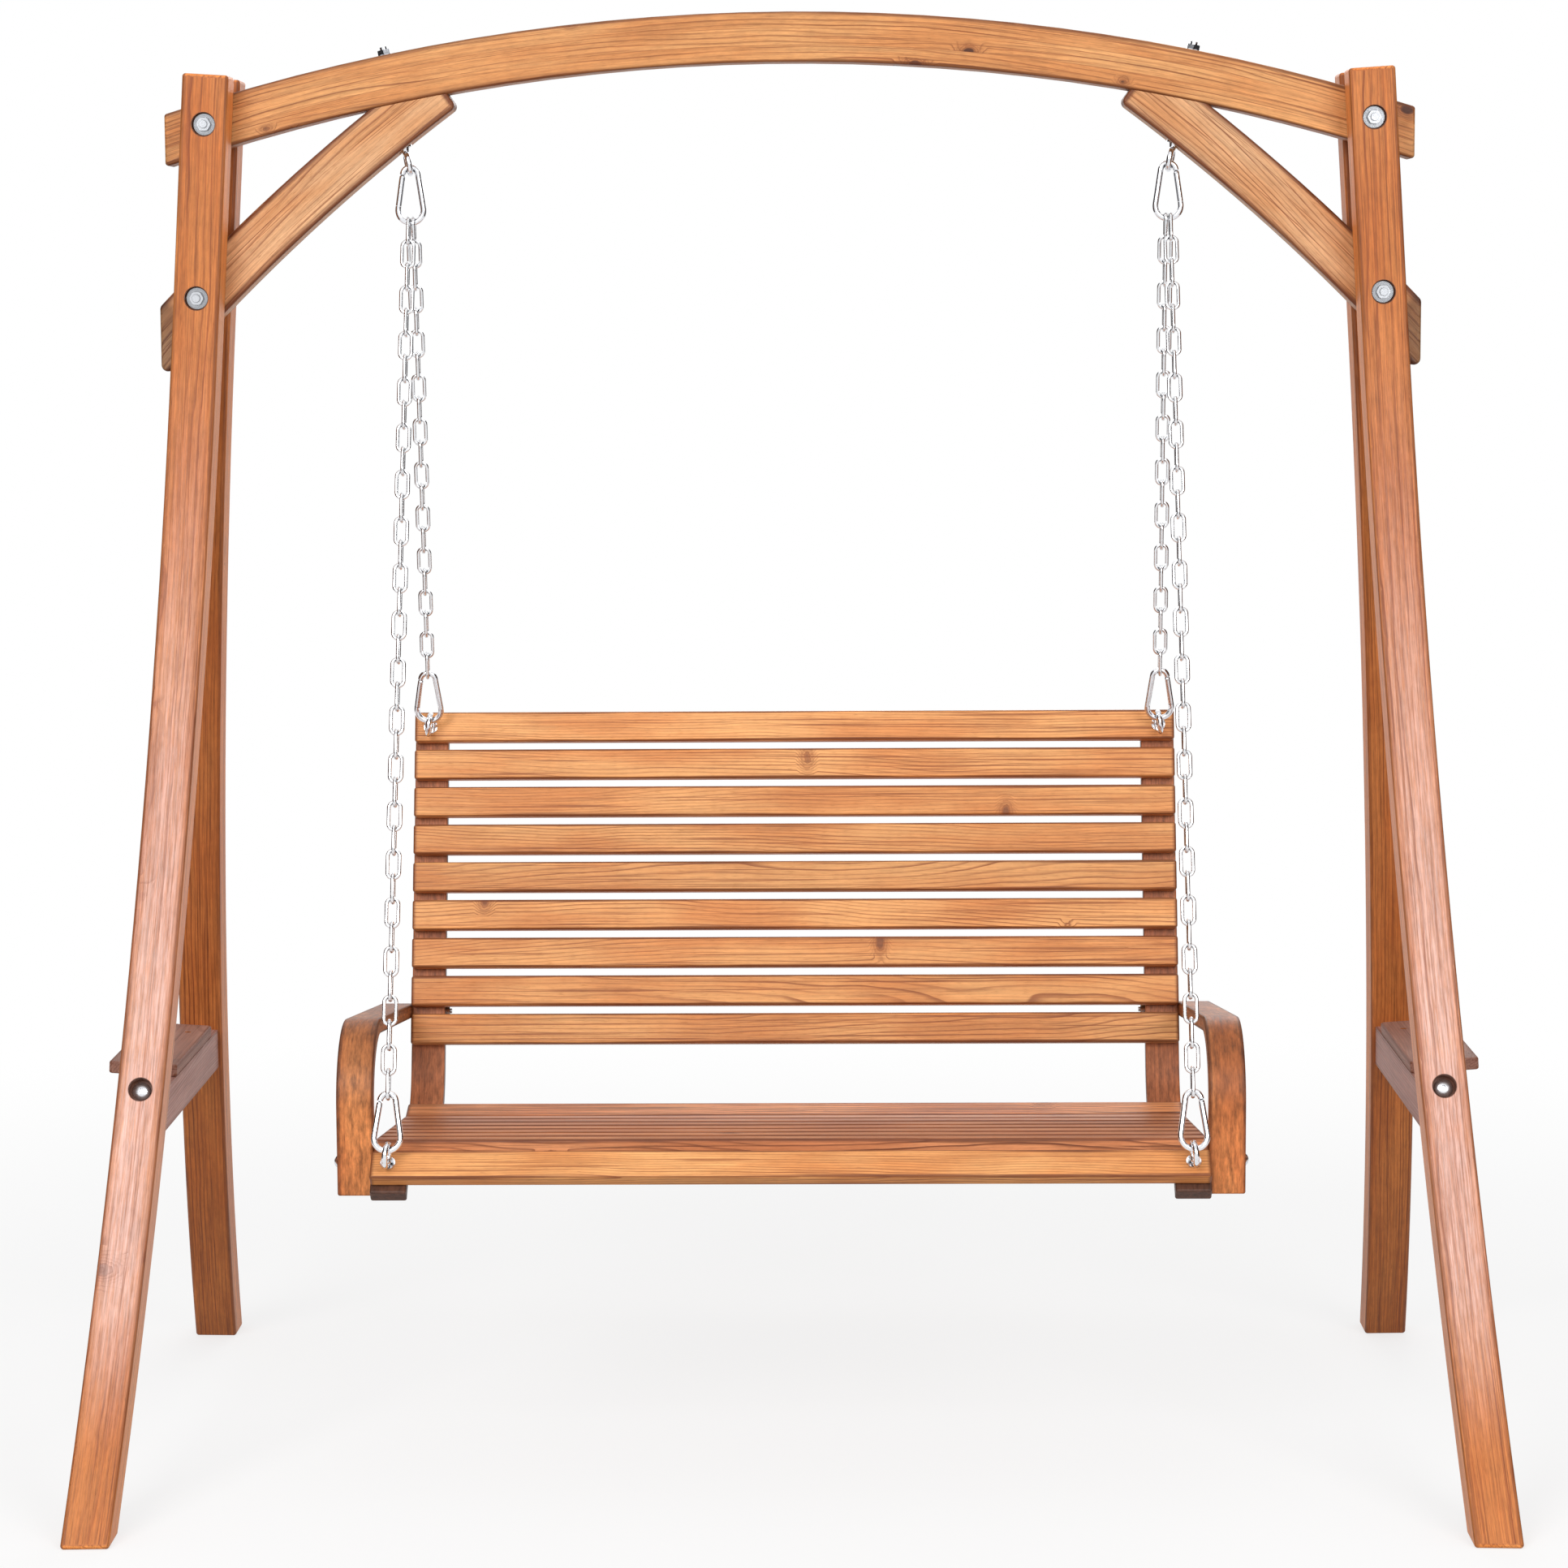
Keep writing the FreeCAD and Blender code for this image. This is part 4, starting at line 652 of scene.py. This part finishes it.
STEELS = {
    "chain": steel("chain_zinc", (0.84, 0.85, 0.87, 1.0), 0.10, 0.25, 4.0),
    "hook": steel("hook_zinc", (0.84, 0.85, 0.88, 1.0), 0.09, 0.25, 4.0),
    "fitting": steel("fitting_zinc", (0.72, 0.74, 0.78, 1.0), 0.08, 0.4, 7.0, 0.34),
    "dome": steel("dome_zinc", (0.90, 0.91, 0.94, 1.0), 0.26, 0.4, 1.5),
}

# Which wood dresses the nodes whose names start so
WOOD_OF = (
    ("leg_front", "leg"), ("leg_rear", "rear_leg"), ("top_beam", "beam"), ("brace_", "brace"),
    ("side_rail", "rail"), ("arm_left", "arm"), ("arm_right", "arm"),
    ("back_slat", "slat"), ("seat_slat", "seat"), ("front_slat", "slat"),
    ("stretcher_board", "board"), ("stretcher_left", "stretcher"), ("stretcher_right", "stretcher"),
)
SLATS = ("back_slat", "seat_slat", "front_slat")

# Spread of the numbers that make pieces differ, and the painted light by which the back slats get paler with height in
# metres
GOLDEN = 0.6180339887
SEEDS, TONES = (1.0, 9.0), (-0.6, 0.6)
PITH_P, PITH_Q = (40.0, 95.0), (34.0, 90.0)
BENCH_MIDDLE, RISING_PAINTED_LIGHT = 0.74, 2.6


def material_of(name):
    for start, wood_name in WOOD_OF:
        if name.startswith(start) and not name.endswith(("bolts", "nuts")):
            return WOODS[wood_name]
    if name.startswith("chain"):
        return STEELS["chain"]
    if name.startswith("gate") or "hook" in name or "eye_bolts" in name:
        return STEELS["hook"]
    return STEELS["dome" if name == "stretcher_bolts" else "fitting"]


def spread(number, low, high):
    """An even spread of values that never repeats, for pieces that should differ."""
    return low + (high - low) * ((number * GOLDEN) % 1.0)


def dress_nodes():
    """Gives each node its material and the numbers that its grain reads."""
    for number, name in enumerate(sorted(nodes)):
        piece = nodes[name]
        low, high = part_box(name)
        # Painted light: a back slat is paler the higher it stands above the bench's middle
        painted_light = (high.z - BENCH_MIDDLE) * RISING_PAINTED_LIGHT * name.startswith("back_slat")
        piece["seed"] = spread(number + 1, *SEEDS)
        piece["tone"] = spread(number * 3 + 2, *TONES) + painted_light
        piece["pith_p"] = spread(number * 5 + 3, *PITH_P)
        piece["pith_q"] = spread(number * 7 + 1, *PITH_Q) * (1 if number % 2 else -1)
        piece["half_u"] = (high.x - low.x) / 2 * TO_MM if name.startswith(SLATS) else FAR_AWAY
        broad = max(piece.data.polygons, key=lambda polygon: polygon.area).normal
        piece["face_y"], piece["face_z"] = broad.y, broad.z
        piece["middle_y"] = (low.y + high.y) / 2 * TO_MM
        piece["middle_z"] = (low.z + high.z) / 2 * TO_MM
        piece.data.materials.clear()
        piece.data.materials.append(material_of(name))


def seen_rays(g):
    """Rays that show a surface itself, straight or in a reflection."""
    rays = g.node("ShaderNodeLightPath").outputs
    return g.largest(rays["Is Camera Ray"], g.largest(rays["Is Glossy Ray"], rays["Is Transmission Ray"]))


def flat_piece(name, corners, material):
    mesh = bpy.data.meshes.new(name)
    mesh.from_pydata(corners, [], [(0, 1, 2, 3)])
    mesh.materials.append(material)
    piece = bpy.data.objects.new(name, mesh)
    bpy.context.scene.collection.objects.link(piece)
    return piece


def add_floor():
    """A pale floor that keeps the shadow and turns white away from the bench."""
    material, g, shader = new_material("floor_pale")
    x, y, _ = g.place()
    seen = seen_rays(g)
    cloud = g.noise(g.vector(g.mul(x, FLOOR_CLOUD), g.mul(y, FLOOR_CLOUD), 0.0))
    g.feed(shader.inputs["Base Color"], g.mix(seen, FLOOR_BOUNCE, g.mix(cloud, FLOOR_PALE, FLOOR_GREY)))
    shader.inputs["Roughness"].default_value = MATT
    shader.inputs["Specular IOR Level"].default_value = FLOOR_SPECULAR
    glow = g.node("ShaderNodeEmission")
    glow.inputs["Color"].default_value = WHITE
    glow.inputs["Strength"].default_value = 1.0
    mixed = g.node("ShaderNodeMixShader")
    share = g.between(g.root_of_squares(x, y), *FLOOR_GLOW_MM, *FLOOR_GLOW)
    g.feed(mixed.inputs[0], g.mul(seen, share))
    g.feed(mixed.inputs[1], shader.outputs[0])
    g.feed(mixed.inputs[2], glow.outputs[0])
    g.feed(g.tree.nodes["Material Output"].inputs["Surface"], mixed.outputs[0])
    corners = [(FLOOR_HALF * a, FLOOR_HALF * b, 0.0) for a, b in ((-1, -1), (1, -1), (1, 1), (-1, 1))]
    flat_piece("floor", corners, material)


def add_flags():
    """Two dark studio flags beside the bench, seen only in the gloss of its metal and finish."""
    material, _, shader = new_material("flag_dark")
    shader.inputs["Base Color"].default_value = FLAG_COLOUR
    shader.inputs["Roughness"].default_value = MATT
    for out, name in ((-FLAG_OUT, "flag_left"), (FLAG_OUT, "flag_right")):
        foot = [(out, FLAG_FRONT, 0.0), (out, FLAG_BACK, 0.0)]
        corners = foot + [(out, FLAG_BACK, FLAG_TOP), (out, FLAG_FRONT, FLAG_TOP)]
        flag = flat_piece(name, corners, material)
        flag.visible_camera = False
        flag.visible_diffuse = False
        flag.visible_shadow = False


def add_surround():
    """A soft white world that shows as plain white where it is seen."""
    world = bpy.data.worlds.new("surround")
    bpy.context.scene.world = world
    world.use_nodes = True
    world.node_tree.nodes.clear()
    g = Graph(world.node_tree)
    mixed = g.node("ShaderNodeMixShader")
    g.feed(mixed.inputs[0], seen_rays(g))
    for socket, strength in ((mixed.inputs[1], SURROUND_SOFT), (mixed.inputs[2], SURROUND_WHITE)):
        light = g.node("ShaderNodeBackground")
        light.inputs["Color"].default_value = WHITE
        light.inputs["Strength"].default_value = strength
        g.feed(socket, light.outputs[0])
    output = g.node("ShaderNodeOutputWorld")
    g.feed(output.inputs["Surface"], mixed.outputs[0])


def add_lamp(name, place, size, power):
    data = bpy.data.lights.new(name, "AREA")
    data.shape = "SQUARE"
    data.size = size
    data.energy = power
    lamp = bpy.data.objects.new(name, data)
    turned = (LAMP_AIM - Vector(place)).to_track_quat("-Z", "Y").to_matrix().to_4x4()
    lamp.matrix_world = Matrix.Translation(place) @ turned
    bpy.context.scene.collection.objects.link(lamp)


add_camera()
add_floor()
add_flags()
add_surround()
for lamp in LAMPS:
    add_lamp(*lamp)
dress_nodes()
bpy.context.scene.view_settings.view_transform = "Standard"
